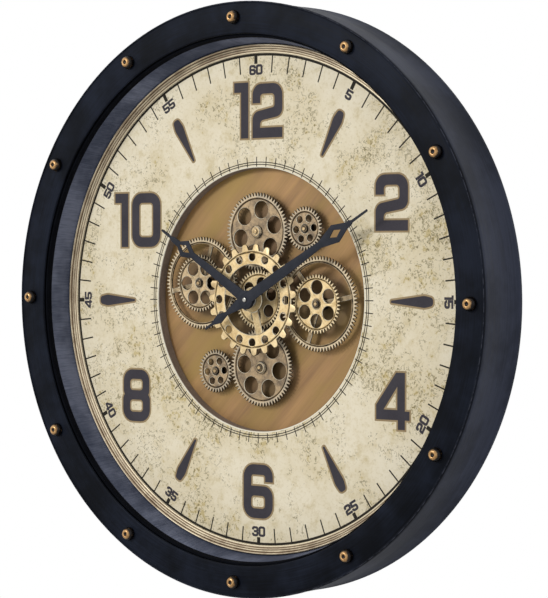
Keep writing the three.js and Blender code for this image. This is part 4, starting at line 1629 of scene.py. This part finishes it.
@dataclass
class PrintedDial(SubAssembly):
    """Everything printed on the dial board, as thin layers of ink on its face."""

    face: float = 37.2
    ink: float = 0.1
    ink_lift: float = 0.55
    layer_step: float = 0.8
    circle_lift: float = 1.1
    ink_foot: float = 0.01
    border: float = 1.8
    heavier: float = 0.28
    digit_gap: float = 5.6
    minute_gap: float = 3.6
    turn: float = -0.42
    shift: Point = (-0.3, -1.3)
    hours: tuple[tuple[str, Point], ...] = (
        ("12", (0.9, 193)), ("2", (167.8, 96.5)), ("4", (169.3, -96.7)),
        ("6", (0.9, -195.7)), ("8", (-165.6, -104)), ("10", (-163.6, 82.5)),
    )
    minute_ring: float = 235.3
    minute_scale: Point = (0.205, 0.178)
    ticks: int = 72
    circle_sides: int = 192
    track: Point = (247.9, 250.4)
    thin_tick: Triple = (232.2, 249.2, 1.45)
    hour_tick: Triple = (241.2, 249.2, 4.1)
    inner_tracks: tuple[float, ...] = (138.1, 140.4)
    inner_track_half: float = 0.42
    inner_tick: Triple = (135.9, 145.9, 0.95)
    inner_shift: float = 0.35
    drop: tuple[Triple, ...] = (
        (-1.1, 167.4, 0.8), (1.1, 167.4, 0.8), (5.9, 207, 14), (3.8, 217, 3.4),
        (-3.8, 217, 3.4), (-5.9, 207, 14),
    )

    def number(self, text: str, scale: Point = (1, 1), gap: float = 0) -> Outlines:
        """Lays out a number's outlines about its own middle.

        Args:
            text: The number.
            scale: How its width and height are scaled.
            gap: The gap between its digits, or 0 for the usual one.

        Returns:
            Outlines to the left round, and holes to the right.
        """
        outlines: Outlines = []
        across = 0.0
        for digit in text:
            shapes = [rounded(shape) for shape in DIGITS[digit]]
            for i, shape in enumerate(shapes):
                if (area(shape) > 0) != (i == 0):
                    shape = shape[::-1]
                outlines.append([(x + across, y) for x, y in shape])
            across += max(x for shape in shapes for x, _ in shape)
            across += gap or self.digit_gap
        across -= gap or self.digit_gap
        tall = max(y for outline in outlines for _, y in outline)
        sx, sy = scale
        return [
            [((x - across / 2) * sx, (y - tall / 2) * sy) for x, y in outline]
            for outline in outlines
        ]

    def lay(
        self, outlines: Outlines, at: Point, level: int, grow: float, turn: float = 0
    ) -> Piece:
        """Lays a flat drawing on the dial's face.

        Args:
            outlines: What is drawn.
            at: Where its middle goes.
            level: How many layers of ink lie under it.
            grow: How far its edge is moved outwards.
            turn: How far it is turned clockwise.

        Returns:
            The drawing.
        """
        obj = drawing("print", outlines, self.ink, grow)
        depth = self.face - self.ink * (self.ink_lift + self.layer_step * level)
        return lay_on_dial(obj, at, depth, turn)

    def printed(self, obj: Piece, finish: str) -> None:
        """Fits a print on the dial's face."""
        self.shop.fit(obj, "case", "dial_face", finish=finish)

    def bordered(self, name: str, prints: Sequence[tuple[Outlines, Point, float]]) -> None:
        """Prints outlines in dark ink over a gold border.

        Args:
            name: The printed pieces' name.
            prints: Outlines, each with its middle and its turn.
        """
        gold = [self.lay(o, at, 0, self.border, turn) for o, at, turn in prints]
        self.printed(join(f"{name}_border", gold), "numeral_gold")
        dark = [self.lay(o, at, 1, 0, turn) for o, at, turn in prints]
        self.printed(join(f"{name}_ink", dark), "numeral_ink")

    def tick(self, sizes: Triple, angle: float) -> Piece:
        """Prints one tick that points outwards.

        Args:
            sizes: Its inner and outer radius and its width.
            angle: The clock angle it points to.

        Returns:
            The tick.
        """
        inner, outer, width = sizes
        front, back = self.face - self.ink, self.face - self.ink_foot
        return flat_bar(inner, outer, width, front, back, angle + self.turn)

    def moved(self, obj: Piece, share: float = 1) -> Piece:
        """Moves a print by a share of how far the dial's print lies off its centre.

        Args:
            obj: The print.
            share: The share of the dial's own shift.

        Returns:
            The same print.
        """
        x, z = (share * part * MM for part in self.shift)
        obj.data.transform(Matrix.Translation((x, 0, z)))
        return obj

    def ring(self, inner: float, outer: float) -> Piece:
        """Prints one circle of a track.

        Args:
            inner: Its inner radius.
            outer: Its outer radius.

        Returns:
            The circle.
        """
        front, back = self.face - self.ink * self.circle_lift, self.face - self.ink_foot
        profile = [(inner, back), (inner, front), (outer, front), (outer, back)]
        return turn_profile("circle", profile, self.circle_sides)

    def numerals(self) -> None:
        """Prints the six large numbers."""
        for text, at in self.hours:
            self.bordered(f"numeral_{text}", [(self.number(text), at, 0)])

    def drops(self) -> None:
        """Prints the drops that mark the odd hours."""
        middle = (self.drop[0][1] + self.drop[3][1]) / 2
        shape = rounded([(x, y - middle, r) for x, y, r in self.drop])
        outline = shape if area(shape) > 0 else shape[::-1]
        prints = []
        for hour in range(1, HOURS, 2):
            angle = 30 * hour + self.turn
            x, z = dial_point(middle, angle)
            prints.append(([outline], (x + self.shift[0], z + self.shift[1]), angle))
        self.bordered("hour_drops", prints)

    def minutes(self) -> None:
        """Prints the small numbers in fives, upside down where they stand below."""
        numbers = []
        for minute in range(5, 61, 5):
            angle = 6.0 * minute + self.turn
            turn = angle + 180 if 20 <= minute <= 40 else angle
            outlines = self.number(str(minute), self.minute_scale, self.minute_gap)
            at = dial_point(self.minute_ring, angle)
            numbers.append(self.lay(outlines, at, 0, self.heavier, turn))
        self.printed(self.moved(join("minute_numbers", numbers)), "numeral_ink")

    def tracks(self) -> None:
        """Prints the minute track, and the finer track round the opening."""
        circle = self.ring(*self.track)
        circle.name = "track_circle"
        self.printed(circle, "track_ink")
        step = 360 / self.ticks
        ticks = []
        for i in range(self.ticks):
            sizes = self.hour_tick if i * step % 30 == 0 else self.thin_tick
            ticks.append(self.tick(sizes, i * step))
        self.printed(self.moved(join("minute_track", ticks)), "track_ink")
        half = self.inner_track_half
        inner = [self.ring(r - half, r + half) for r in self.inner_tracks]
        inner += [self.tick(self.inner_tick, i * step) for i in range(self.ticks)]
        self.printed(self.moved(join("inner_track", inner), self.inner_shift), "track_ink")

    def make(self) -> None:
        """Prints the numerals, the drops, the minute numbers and both tracks."""
        self.numerals()
        self.drops()
        self.minutes()
        self.tracks()


@dataclass
class Wheel:
    """One flat wheel: its teeth, its recess, and its windows or its spokes."""

    node: str
    body: str
    slot: str
    teeth: int
    step: float
    rise: float = 3.6
    # How many windows, their radius, their distance out and the first one's angle.
    windows: tuple[int, float, float, float] = (0, 0, 0, 0)
    bore: float = 0
    hub: float = 0
    spoke: float = 0
    spokes: tuple[float, ...] = ()
    spoke_inset: float = 0.25
    recess: float = 0.55
    # The steps of a tooth's rise, from the middle of a gap to the tooth's own.
    levels: tuple[float, ...] = (0, 1)
    edge: float = 0.5
    front_face: float = 0
    # How wide and how deep the groove inside the teeth is.
    groove: Point = (1, 0.8)
    seat: float = 0
    least_seat: float = 1.6
    seat_depth: float = 0.6
    crease: float = 28
    window_sides: int = 28
    finish: str = ""
    # The share of rubbing and painted highlight kept on the teeth's faces.
    polish: float = 0.3

    def phase(self, node: Piece, centre: Vector) -> tuple[float, float]:
        """Reads a packed wheel's tip radius, and the clock angle of a tooth.

        Args:
            node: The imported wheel.
            centre: A point on its axis.

        Returns:
            The tip radius in millimetres and the angle in degrees.
        """
        arms = [v.co - centre for v in node.data.vertices]
        radii = [math.hypot(arm.x, arm.z) for arm in arms]
        tip = max(radii)
        turns = [
            math.atan2(arm.x, arm.z) * self.teeth
            for arm, radius in zip(arms, radii)
            if radius > tip - 0.05 * MM
        ]
        mean = math.atan2(sum(map(math.sin, turns)), sum(map(math.cos, turns)))
        return tip / MM, math.degrees(mean) / self.teeth

    def blank(self, tip: float, phase: float, front: float, back: float) -> Piece:
        """Makes the toothed blank.

        Args:
            tip: The radius of the teeth's tips.
            phase: The clock angle of one tooth.
            front: The depth of its front face.
            back: The depth of its back face.

        Returns:
            The blank.
        """
        steps = 2 * len(self.levels)
        root = tip - self.rise
        pitch = 360 / self.teeth
        obj = round_bar(root, front, back, self.teeth * steps)
        obj.name = self.node + "_cut"
        half = math.radians(phase + pitch / steps / 2)
        obj.data.transform(Matrix.Rotation(half, 4, "Y"))
        take(obj)
        bpy.ops.object.mode_set(mode="EDIT")
        for level, share in enumerate(reversed(self.levels)):
            if share == 0:
                continue

            def on_level(co: Vector, level: int = level) -> bool:
                """Tells whether a point of the rim belongs to this level of a tooth.

                Args:
                    co: The point.
                    level: The level, counted from the middle of the tooth.

                Returns:
                    Whether it does.
                """
                angle = math.degrees(math.atan2(co.x, co.z)) - phase
                off = abs((angle + pitch / 2) % pitch - pitch / 2)
                return int(off / (pitch / steps)) == level

            pick(obj, on_level)
            scale = (root + self.rise * share) / root
            bpy.ops.transform.resize(value=(scale, 1, scale), center_override=(0, 0, 0))
        bpy.ops.object.mode_set(mode="OBJECT")
        return obj

    def mark_teeth(self, obj: Piece, front: float, root: float) -> None:
        """Marks the teeth's flanks for painted shade, and their faces for a share of the rubbing
        and painted highlight.

        Args:
            obj: The wheel, still about the clock's own axis.
            front: The depth of its front face.
            root: The radius at the foot of the teeth.
        """
        relief = obj.data.attributes["relief"].data
        for vertex in obj.data.vertices:
            out = math.hypot(vertex.co.x, vertex.co.z) / MM
            if out > root - 0.2 and vertex.co.y / MM > front + 0.2:
                relief[vertex.index].value = 1
        worn = obj.data.attributes["worn"].data
        for face in obj.data.polygons:
            out = math.hypot(face.center.x, face.center.z) / MM
            if out > self.step + 0.4 and face.normal.y < -0.95:
                worn[face.index].value = self.polish
            elif out > root - 0.3:
                worn[face.index].value *= self.polish

    def turned_face(self, front: float) -> list[Point]:
        """Lays out the section that is turned out of the wheel's face.

        Args:
            front: The depth of its front face.

        Returns:
            Points of (radius, depth).
        """
        wide, deep = self.groove
        level, inside = front + self.recess, self.step - wide
        face = [(self.step, front - 1), (self.step, level + deep), (inside, level + deep)]
        if not self.recess:
            return [*face, (inside, front - 1)]
        seat = self.seat or self.least_seat
        floor = level + self.seat_depth
        return [*face, (inside, level), (seat, level), (seat, floor), (1, floor), (1, front - 1)]

    def pierce(self, obj: Piece, front: float, back: float) -> None:
        """Cuts the windows, and the opening that the hub and its spokes stand in.

        Args:
            obj: The wheel.
            front: The depth of its front face.
            back: The depth of its back face.
        """
        count, radius, ring, first = self.windows
        if count:
            spots = [dial_point(ring, first + 360 / count * i) for i in range(count)]
            sides = self.window_sides
            carve(obj, [round_bar(radius, front - 2, back + 2, sides, at) for at in spots])
        if self.bore:
            carve(obj, [round_bar(self.bore, front - 2, back + 2, 96)])
            middle = round_bar(self.hub, front + 0.05, back, 32)
            ends = (front + self.spoke_inset, back - self.spoke_inset)
            for angle in self.spokes:
                bar = flat_bar(0, self.bore + 0.8, self.spoke, *ends, angle)
                carve(middle, [bar], Carve.ON)
            carve(obj, [middle], Carve.ON)

    def make(self, shop: Workshop) -> Piece:
        """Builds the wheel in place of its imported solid.

        Args:
            shop: What finishes the pieces.

        Returns:
            The wheel.
        """
        x, z = shop.axis_of(self.body)
        centre = shop.home + Vector((x * MM, 0, z * MM))
        lo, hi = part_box(self.node)
        front = self.front_face or (lo.y - shop.home.y) / MM
        back = (hi.y - shop.home.y) / MM
        tip, phase = self.phase(shop.frame["nodes"][self.node], centre)
        obj = self.blank(tip, phase, front, back)
        carve(obj, [turn_profile("face_cutter", self.turned_face(front), 96)])
        self.pierce(obj, front, back)
        part_faces(obj)
        soften(obj, self.edge, 1, self.crease)
        # Patina and painted shade in the recess, the groove and on the flanks; rubbing and a
        # painted highlight on the bevels.
        mark_relief(obj, front + self.recess, 0.7)
        mark_edges(obj, (self.step - self.groove[0] - 0.7, self.step + 0.7))
        self.mark_teeth(obj, front, tip - self.rise)
        return shop.fit(obj, self.body, self.slot, [self.node], self.finish, (x, z))


@dataclass
class Turned:
    """One turned part of the train: an arbor, hub, nut, pipe or collar."""

    node: str
    body: str
    slot: str
    profile: tuple[Point, ...]
    # The body on whose hinge it stands, or none for the clock's own axis.
    centre: str
    sides: int = 32
    span: float = 0.8
    # How far behind its front the patina and painted shade begin.
    clean: float = 0.3
    # Whether its bevels are rubbed and take a painted highlight.
    rubbed: bool = False
    finish: str = "arbor_brass"
    crease: float = 35

    def make(self, shop: Workshop) -> Piece:
        """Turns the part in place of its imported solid.

        Args:
            shop: What finishes the pieces.

        Returns:
            The part.
        """
        obj = turn_profile(self.node + "_turned", self.profile, self.sides, solid=True)
        # Patina and painted shade deepen from just behind its front.
        mark_relief(obj, min(depth for _, depth in self.profile) + self.clean, self.span)
        if self.rubbed:
            mark_edges(obj)
        smooth(obj, self.crease)
        at = shop.axis_of(self.centre) if self.centre else (0.0, 0.0)
        return shop.fit(obj, self.body, self.slot, [self.node], self.finish, at)


def headed_arbor(
    front: float, back: float, head: float = 4, stem: float = 2.4
) -> tuple[Point, ...]:
    """Gives the profile of an arbor: a foot, a stem, and a rounded head in front.

    Args:
        front: The depth of the head's front.
        back: The depth of the foot's back.
        head: The head's radius.
        stem: The stem's radius.

    Returns:
        Points of (radius, depth).
    """
    return (
        (6.0, back), (6.0, back - 1.2), (stem, back - 1.4), (stem, front + 1.8),
        (head, front + 1.7), (head, front + 1.2), (head - 0.4, front + 0.85),
        (head - 1.2, front + 0.75), (head - 1.7, front + 0.95), (head - 2.1, front + 0.9),
        (head - 2.2, front + 0.3), (head - 2.5, front), (0.5, front),
    )


@dataclass
class GearTrain(SubAssembly):
    """The wheels that show in the well, with their arbors, hubs and nuts."""

    plate_front: float = 48.3
    arbors: tuple[tuple[str, str, float], ...] = (
        ("right_arbor", "right_gear", 32.3), ("left_arbor", "left_gear", 32.3),
        ("upper_small_arbor", "upper_small_gear", 37.9),
        ("lower_small_arbor", "lower_small_gear", 37.9),
        ("bottom_arbor", "bottom_gear", 35.4),
    )

    def wheels(self) -> list[Wheel]:
        """Lists the wheels.

        Returns:
            The wheels, in the order they are made.
        """
        large = [
            Wheel(
                f"{side}_wheel", f"{side}_gear", "wheel_bronze", 63, 34.3,
                windows=(6, 9, 22.9, first),
            )
            for side, first in (("top", 13), ("bottom", 37))
        ]
        small = [
            Wheel(
                f"{side}_small_wheel", f"{side}_small_gear", "wheel_bronze", 35, 17.5,
                windows=(6, 3.7, 11.3, 25), seat=4.8,
            )
            for side in ("upper", "lower")
        ]
        rims = [
            Wheel(
                f"{side}_rim_wheel", f"{side}_gear", "wheel_brass", 76, 42.7, bore=41,
                hub=8, spoke=5, spokes=(first, first + 120, first + 240), recess=0,
                front_face=38.4, finish="wheel_rim",
            )
            for side, first in (("right", 79.5), ("left", 18))
        ]
        fronts = [
            Wheel(
                f"{side}_front_wheel", f"{side}_gear", "wheel_brass", 47, 25.9,
                windows=(6, 7.1, 17, first), seat=5.4, finish=finish,
            )
            for side, first, finish in (("right", 1.5, ""), ("left", -30.4, "wheel_rim"))
        ]
        return [
            Wheel(
                "centre_wheel", "centre_gear", "wheel_brass", 48, 25.9,
                windows=(6, 6.2, 17, 12),
            ),
            *large,
            *small,
            *rims,
            *fronts,
            Wheel(
                "toothed_ring", "centre_gear", "wheel_brass", 23, 48.9, rise=6.5, polish=0.08,
                windows=(16, 4.2, 43.6, 0), bore=36, hub=13, spoke=9,
                spokes=(45, 165, 285), recess=0, levels=(0, 0, 0.85, 1), edge=0.6,
                groove=(1, 0.9),
            ),
        ]

    def turned(self) -> list[Turned]:
        """Lists the turned parts.

        Returns:
            The parts, in the order they are made.
        """
        back = self.plate_front
        headed = [
            Turned(node, "case", "wheel_brass", headed_arbor(front, back), centre)
            for node, centre, front in self.arbors
        ]
        return headed + [
            Turned(
                "drive_shaft", "top_gear", "wheel_brass",
                (
                    (2.4, 54.9), (2.4, 36.3), (2.3, 36.05), (2.0, 35.9), (1.2, 35.9),
                    (0.9, 36.2), (0.4, 36.2),
                ),
                "top_gear",
            ),
            # The whole sleeve is darkened: patina and painted shade all over.
            Turned(
                "centre_sleeve", "centre_gear", "wheel_brass",
                (
                    (5.6, 46.1), (5.6, 32.6), (9.7, 32.3), (10, 32.0), (10, 30.6),
                    (9.7, 30.3), (4.2, 30.3),
                ),
                "", sides=48, clean=-1.6, finish="",
            ),
            Turned(
                "ring_collar", "case", "bright_steel",
                ((6.3, 27.7), (6.5, 27.5), (6.5, 26.5), (6.1, 26.15), (5.5, 26.1), (3.9, 26.1)),
                "", sides=40, finish="",
            ),
            Turned(
                "hour_pipe", "hour_hand", "wheel_brass",
                ((2.6, 52.9), (2.6, 19.6), (2.4, 19.4), (1.7, 19.4)), "", finish="",
            ),
            Turned(
                "minute_arbor", "minute_hand", "wheel_brass",
                ((1.5, 52.9), (1.5, 16.8), (1.3, 16.6), (0.6, 16.6)), "", finish="",
            ),
            Turned(
                "hand_nut", "minute_hand", "bright_steel",
                ((2.3, 16.3), (2.3, 15.7), (2.1, 15.4), (1.6, 15.22), (0.9, 15.2), (0.3, 15.25)),
                "", finish="",
            ),
        ]

    def hubs(self) -> None:
        """Turns the stepped washers on the top and bottom wheels."""
        for side in ("top", "bottom"):
            node = f"{side}_wheel_hub"
            profile = (
                (6.8, 39.3), (6.8, 38.6), (6.6, 38.35), (5.4, 38.3), (5.1, 38.1),
                (5.0, 37.4), (4.7, 37.15), (3.2, 37.1), (2.9, 37.4), (2.5, 37.5),
            )
            part = Turned(
                node, f"{side}_gear", "wheel_brass", profile, f"{side}_gear", 40, 1.7, rubbed=True
            )
            part.make(self.shop)

    def make(self) -> None:
        """Builds the whole train."""
        for wheel in self.wheels():
            wheel.make(self.shop)
        for part in self.turned():
            part.make(self.shop)
        self.hubs()
        self.shop.dress("threaded_bushing", finish="wheel_brass")
        self.shop.dress("centre_nut", finish="bright_steel")


@dataclass
class Hand:
    """One pierced hand, cut from sheet steel."""

    node: str
    angle: float
    front: float
    bore: float
    stations: tuple[Point, ...]
    lozenge: float
    thick: float = 1.1
    hub: float = 9.5
    window: Point = (4, 8)
    edge: float = 0.16
    crease: float = 28

    def make(self, shop: Workshop) -> None:
        """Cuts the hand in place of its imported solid.

        Args:
            shop: What finishes the pieces.
        """
        obj = blade(self.node + "_blade", self.stations, self.front, self.thick)
        hub = round_bar(self.hub, self.front, self.front + self.thick, 64)
        carve(obj, [hub], Carve.ON)
        half, reach = self.window
        clear_selection()
        bpy.ops.mesh.primitive_cylinder_add(
            vertices=4,
            radius=MM,
            depth=6 * MM,
            location=(0, (self.front + self.thick / 2) * MM, self.lozenge * MM),
            rotation=(math.pi / 2, 0, 0),
            scale=(half, reach, 1),
        )
        window = bpy.context.object
        apply_place(window)
        carve(obj, [window])
        carve(obj, [round_bar(self.bore, self.front - 1, self.front + self.thick + 1, 32)])
        soften(obj, self.edge, 2, self.crease)
        obj.data.transform(Matrix.Rotation(math.radians(self.angle), 4, "Y"))
        shop.fit(obj, self.node, "hand_black", [self.node])


@dataclass
class Hands(SubAssembly):
    """The hour hand and the minute hand."""

    def make(self) -> None:
        """Cuts both hands."""
        Hand(
            "minute_hand", 59.8, 16.6, 1.55,
            (
                (-61, 1.1), (-50, 1.4), (-39, 5), (-28, 2.04), (-7.5, 5.85), (7.5, 5.85),
                (60, 5.3), (110, 3.4), (132, 9.7), (147.4, 3.4), (153, 2.8), (155.8, 1.4),
                (177, 1.1),
            ),
            132,
        ).make(self.shop)
        Hand(
            "hour_hand", 302, 19.4, 2.65,
            (
                (-4, 5.85), (7.5, 5.85), (38, 4.9), (85, 3.4), (98, 9.7), (107.1, 3.4),
                (117, 2.8), (119.8, 1.4), (135, 1.1),
            ),
            98,
        ).make(self.shop)


@dataclass
class RearFittings(SubAssembly):
    """What the wall side shows: the panel, two drive units, the hanger and the feet."""

    crease: float = 35
    moulded: tuple[tuple[str, str, float], ...] = (
        ("movement_housing", "black_plastic", 0.8),
        ("gear_motor_housing", "black_plastic", 0.8),
        ("keyhole_hanger", "bright_steel", 0.3),
        ("wall_bumper_left", "bumper_rubber", 0.6),
        ("wall_bumper_right", "bumper_rubber", 0.6),
    )
    switch_edge: float = 0.35
    screws: int = 8
    screw_ring: float = 289
    hanger_screws: tuple[Point, ...] = ((-22, 222), (22, 222), (-22, 250), (22, 250))
    screw_head: float = 3.6
    slot_half: float = 1.9
    slot_width: float = 0.7
    slot_angle: float = 20
    flutes: int = 20
    flute_ring: float = 7.75
    flute_radius: float = 0.55

    def screw(self, name: str) -> Piece:
        """Makes one panel screw with a cross slot, rising from depth 0 to the rear.

        Args:
            name: The screw's name.

        Returns:
            The screw, about the clock's own axis.
        """
        obj = turn_profile(
            name,
            [(self.screw_head, 0), (self.screw_head, 0.5), (3.1, 1.1), (2.2, 1.45), (0.8, 1.6)],
            24,
            solid=True,
        )
        half, width = self.slot_half, self.slot_width
        for angle in (self.slot_angle, self.slot_angle + 90):
            carve(obj, [flat_bar(-half, half, width, 0.9, 3, angle)])
        smooth(obj, self.crease)
        return obj

    def knob(self) -> None:
        """Turns the setting knob and cuts its flutes."""
        obj = turn_profile(
            "knob_fluted",
            [
                (1.5, 61.2), (7.1, 61.2), (7.5, 61.6), (7.5, 64.7), (7.1, 65.2),
                (6.2, 65.5), (5.2, 65.5), (4.9, 65.2), (0.8, 65.2),
            ],
            48,
            solid=True,
        )
        step = 360 / self.flutes
        spots = [dial_point(self.flute_ring, step * i) for i in range(self.flutes)]
        carve(obj, [round_bar(self.flute_radius, 60, 67, 10, at) for at in spots])
        smooth(obj, self.crease)
        lo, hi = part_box("setting_knob")
        middle = (lo + hi) / 2 - self.shop.home
        self.shop.fit(
            obj, "setting_knob", "black_plastic", ["setting_knob"],
            at=(middle.x / MM, middle.z / MM),
        )

    def cell(self, node: str) -> None:
        """Turns one round cell with its raised contact, lying across its unit.

        Args:
            node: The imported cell.
        """
        lo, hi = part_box(node)
        middle = (lo + hi) / 2
        radius = (hi.z - lo.z) / 2 / MM
        half = (hi.x - lo.x) / 2 / MM
        obj = turn_profile(
            node + "_round",
            [
                (radius - 0.8, half), (radius - 0.2, half - 0.2), (radius, half - 0.9),
                (radius, -half + 2.2), (radius - 0.3, -half + 1.6), (radius - 1.2, -half + 1.3),
                (2.8, -half + 1.2), (2.7, -half + 0.1), (2.3, -half), (0.6, -half),
            ],
            40,
            solid=True,
        )
        smooth(obj, self.crease)
        obj.data.transform(Matrix.Rotation(math.pi / 2, 4, "Z"))
        obj.data.transform(Matrix.Translation(middle - self.shop.home))
        self.shop.fit(obj, "case", "cell_jacket", [node])

    def make(self) -> None:
        """Builds the rear."""
        for node, slot, width in self.moulded:
            obj = self.shop.softened(node, node + "_rounded", width)
            self.shop.fit(obj, "case", slot, [node])
        switch = self.shop.softened("gear_motor_switch", "switch_rounded", self.switch_edge)
        self.shop.fit(switch, "motor_switch", "bright_steel", ["gear_motor_switch"])
        self.knob()
        self.cell("movement_battery")
        self.cell("gear_motor_battery")
        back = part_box("case_drum")[1].y - self.shop.home.y
        first = self.screw("panel_screw")
        step = 360 / self.screws
        spots = [dial_point(self.screw_ring, step * (i + 0.5)) for i in range(self.screws)]
        spots += self.hanger_screws
        for i, spot in enumerate(spots):
            screw = copy_of(first, f"panel_screw_{i + 1:02d}")
            screw.data.transform(Matrix.Translation((0, back, 0)))
            self.shop.fit(screw, "case", "bright_steel", at=spot)
        bpy.data.objects.remove(first)
        self.shop.dress("rear_panel", finish="panel_board")


@dataclass
class Studio:
    """The pale floor, the white surroundings, the soft lamps and the camera."""

    floor_drop: float = 1.3
    floor_radius: float = 4
    floor_colour: Colour = (0.86, 0.86, 0.86)
    floor_roughness: float = 0.9
    camera_from_home: Triple = (1.4554, -1.7649, 0.0451)
    camera_way: Triple = (-0.6224, 0.7822, -0.0192)
    lens: float = 136.85
    clip: Point = (0.05, 50)
    ambient: float = 0.48
    lamp_aim: Triple = (0, 0, -0.236)
    # Each lamp's name, place, width and power, in metres and watts.
    lamps: tuple[tuple[str, Triple, float, float], ...] = (
        ("key_lamp", (-1.15, -2.7, 0.9), 0.8, 42),
        ("fill_lamp", (2.6, -2.0, 0.8), 1.8, 7),
    )

    def glow(self, palette: Palette, strength: float) -> Socket:
        """Gives white light of a strength from all round."""
        inputs = {"Color": (1, 1, 1, 1), "Strength": strength}
        return palette.node("ShaderNodeBackground", inputs).outputs[0]

    def white_to(self, palette: Palette, shader: Socket) -> Socket:
        """Shows plain white to the camera and to mirrors, and a shader to the rest.

        Args:
            palette: The world's nodes.
            shader: What lights the clock.

        Returns:
            The mixed shader.
        """
        path = palette.node("ShaderNodeLightPath").outputs
        seen = palette.number(Sum.MOST, path["Is Camera Ray"], path["Is Glossy Ray"])
        seen = palette.number(Sum.MOST, seen, path["Is Transmission Ray"])
        white = self.glow(palette, 1.0)
        return palette.node("ShaderNodeMixShader", {0: seen, 1: shader, 2: white}).outputs[0]

    def surroundings(self) -> None:
        """Makes the world: soft light all round, and white where it is seen."""
        world = bpy.data.worlds.new("studio")
        world.use_nodes = True
        world.node_tree.nodes.clear()
        palette = Palette(world.node_tree)
        shown = self.white_to(palette, self.glow(palette, self.ambient))
        palette.node("ShaderNodeOutputWorld", {"Surface": shown})
        bpy.context.scene.world = world

    def floor(self) -> None:
        """Lays a round pale floor below the clock."""
        clear_selection()
        bpy.ops.mesh.primitive_circle_add(
            vertices=96,
            radius=self.floor_radius,
            fill_type="NGON",
            location=(0, 0, -self.floor_drop),
        )
        floor = bpy.context.object
        floor.name = "floor"
        apply_place(floor)
        material = bpy.data.materials.new("floor_white")
        material.use_nodes = True
        shader = material.node_tree.nodes["Principled BSDF"]
        shader.inputs["Base Color"].default_value = (*self.floor_colour, 1)
        shader.inputs["Roughness"].default_value = self.floor_roughness
        floor.data.materials.append(material)

    def lights(self) -> None:
        """Hangs the lamps, each aimed at the clock."""
        target = Vector(self.lamp_aim)
        for name, place, size, power in self.lamps:
            lamp = bpy.data.lights.new(name, "AREA")
            lamp.shape = "DISK"
            lamp.size = size
            lamp.energy = power
            obj = bpy.data.objects.new(name, lamp)
            obj.location = place
            obj.rotation_euler = (target - Vector(place)).to_track_quat("-Z", "Y").to_euler()
            bpy.context.scene.collection.objects.link(obj)

    def camera(self, home: Vector) -> None:
        """Sets the camera where the photograph was taken from.

        Args:
            home: Where the axis meets the bezel's front face.
        """
        lens = bpy.data.cameras.new("camera")
        lens.lens = self.lens
        lens.clip_start, lens.clip_end = self.clip
        obj = bpy.data.objects.new("camera", lens)
        obj.location = home + Vector(self.camera_from_home)
        way = Vector(self.camera_way)
        obj.rotation_euler = way.to_track_quat("-Z", "Y").to_euler()
        bpy.context.scene.collection.objects.link(obj)
        bpy.context.scene.camera = obj

    def make(self, home: Vector) -> None:
        """Sets up the studio.

        Args:
            home: Where the axis meets the bezel's front face.
        """
        self.surroundings()
        self.floor()
        self.lights()
        self.camera(home)
        bpy.context.scene.view_settings.view_transform = "Standard"


def main() -> None:
    """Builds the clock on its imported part, and the studio round it."""
    logging.basicConfig(level=logging.INFO, format="%(message)s")
    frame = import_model()
    lo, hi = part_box("front_bezel")
    home = Vector(((lo.x + hi.x) / 2, lo.y, (lo.z + hi.z) / 2))
    shop = Workshop(frame, Effects(), home)
    Studio().make(home)
    for assembly in (Case, PrintedDial, GearTrain, Hands, RearFittings):
        LOG.info("-- %s", assembly.__name__)
        assembly(shop).make()


if __name__ == "__main__":
    main()
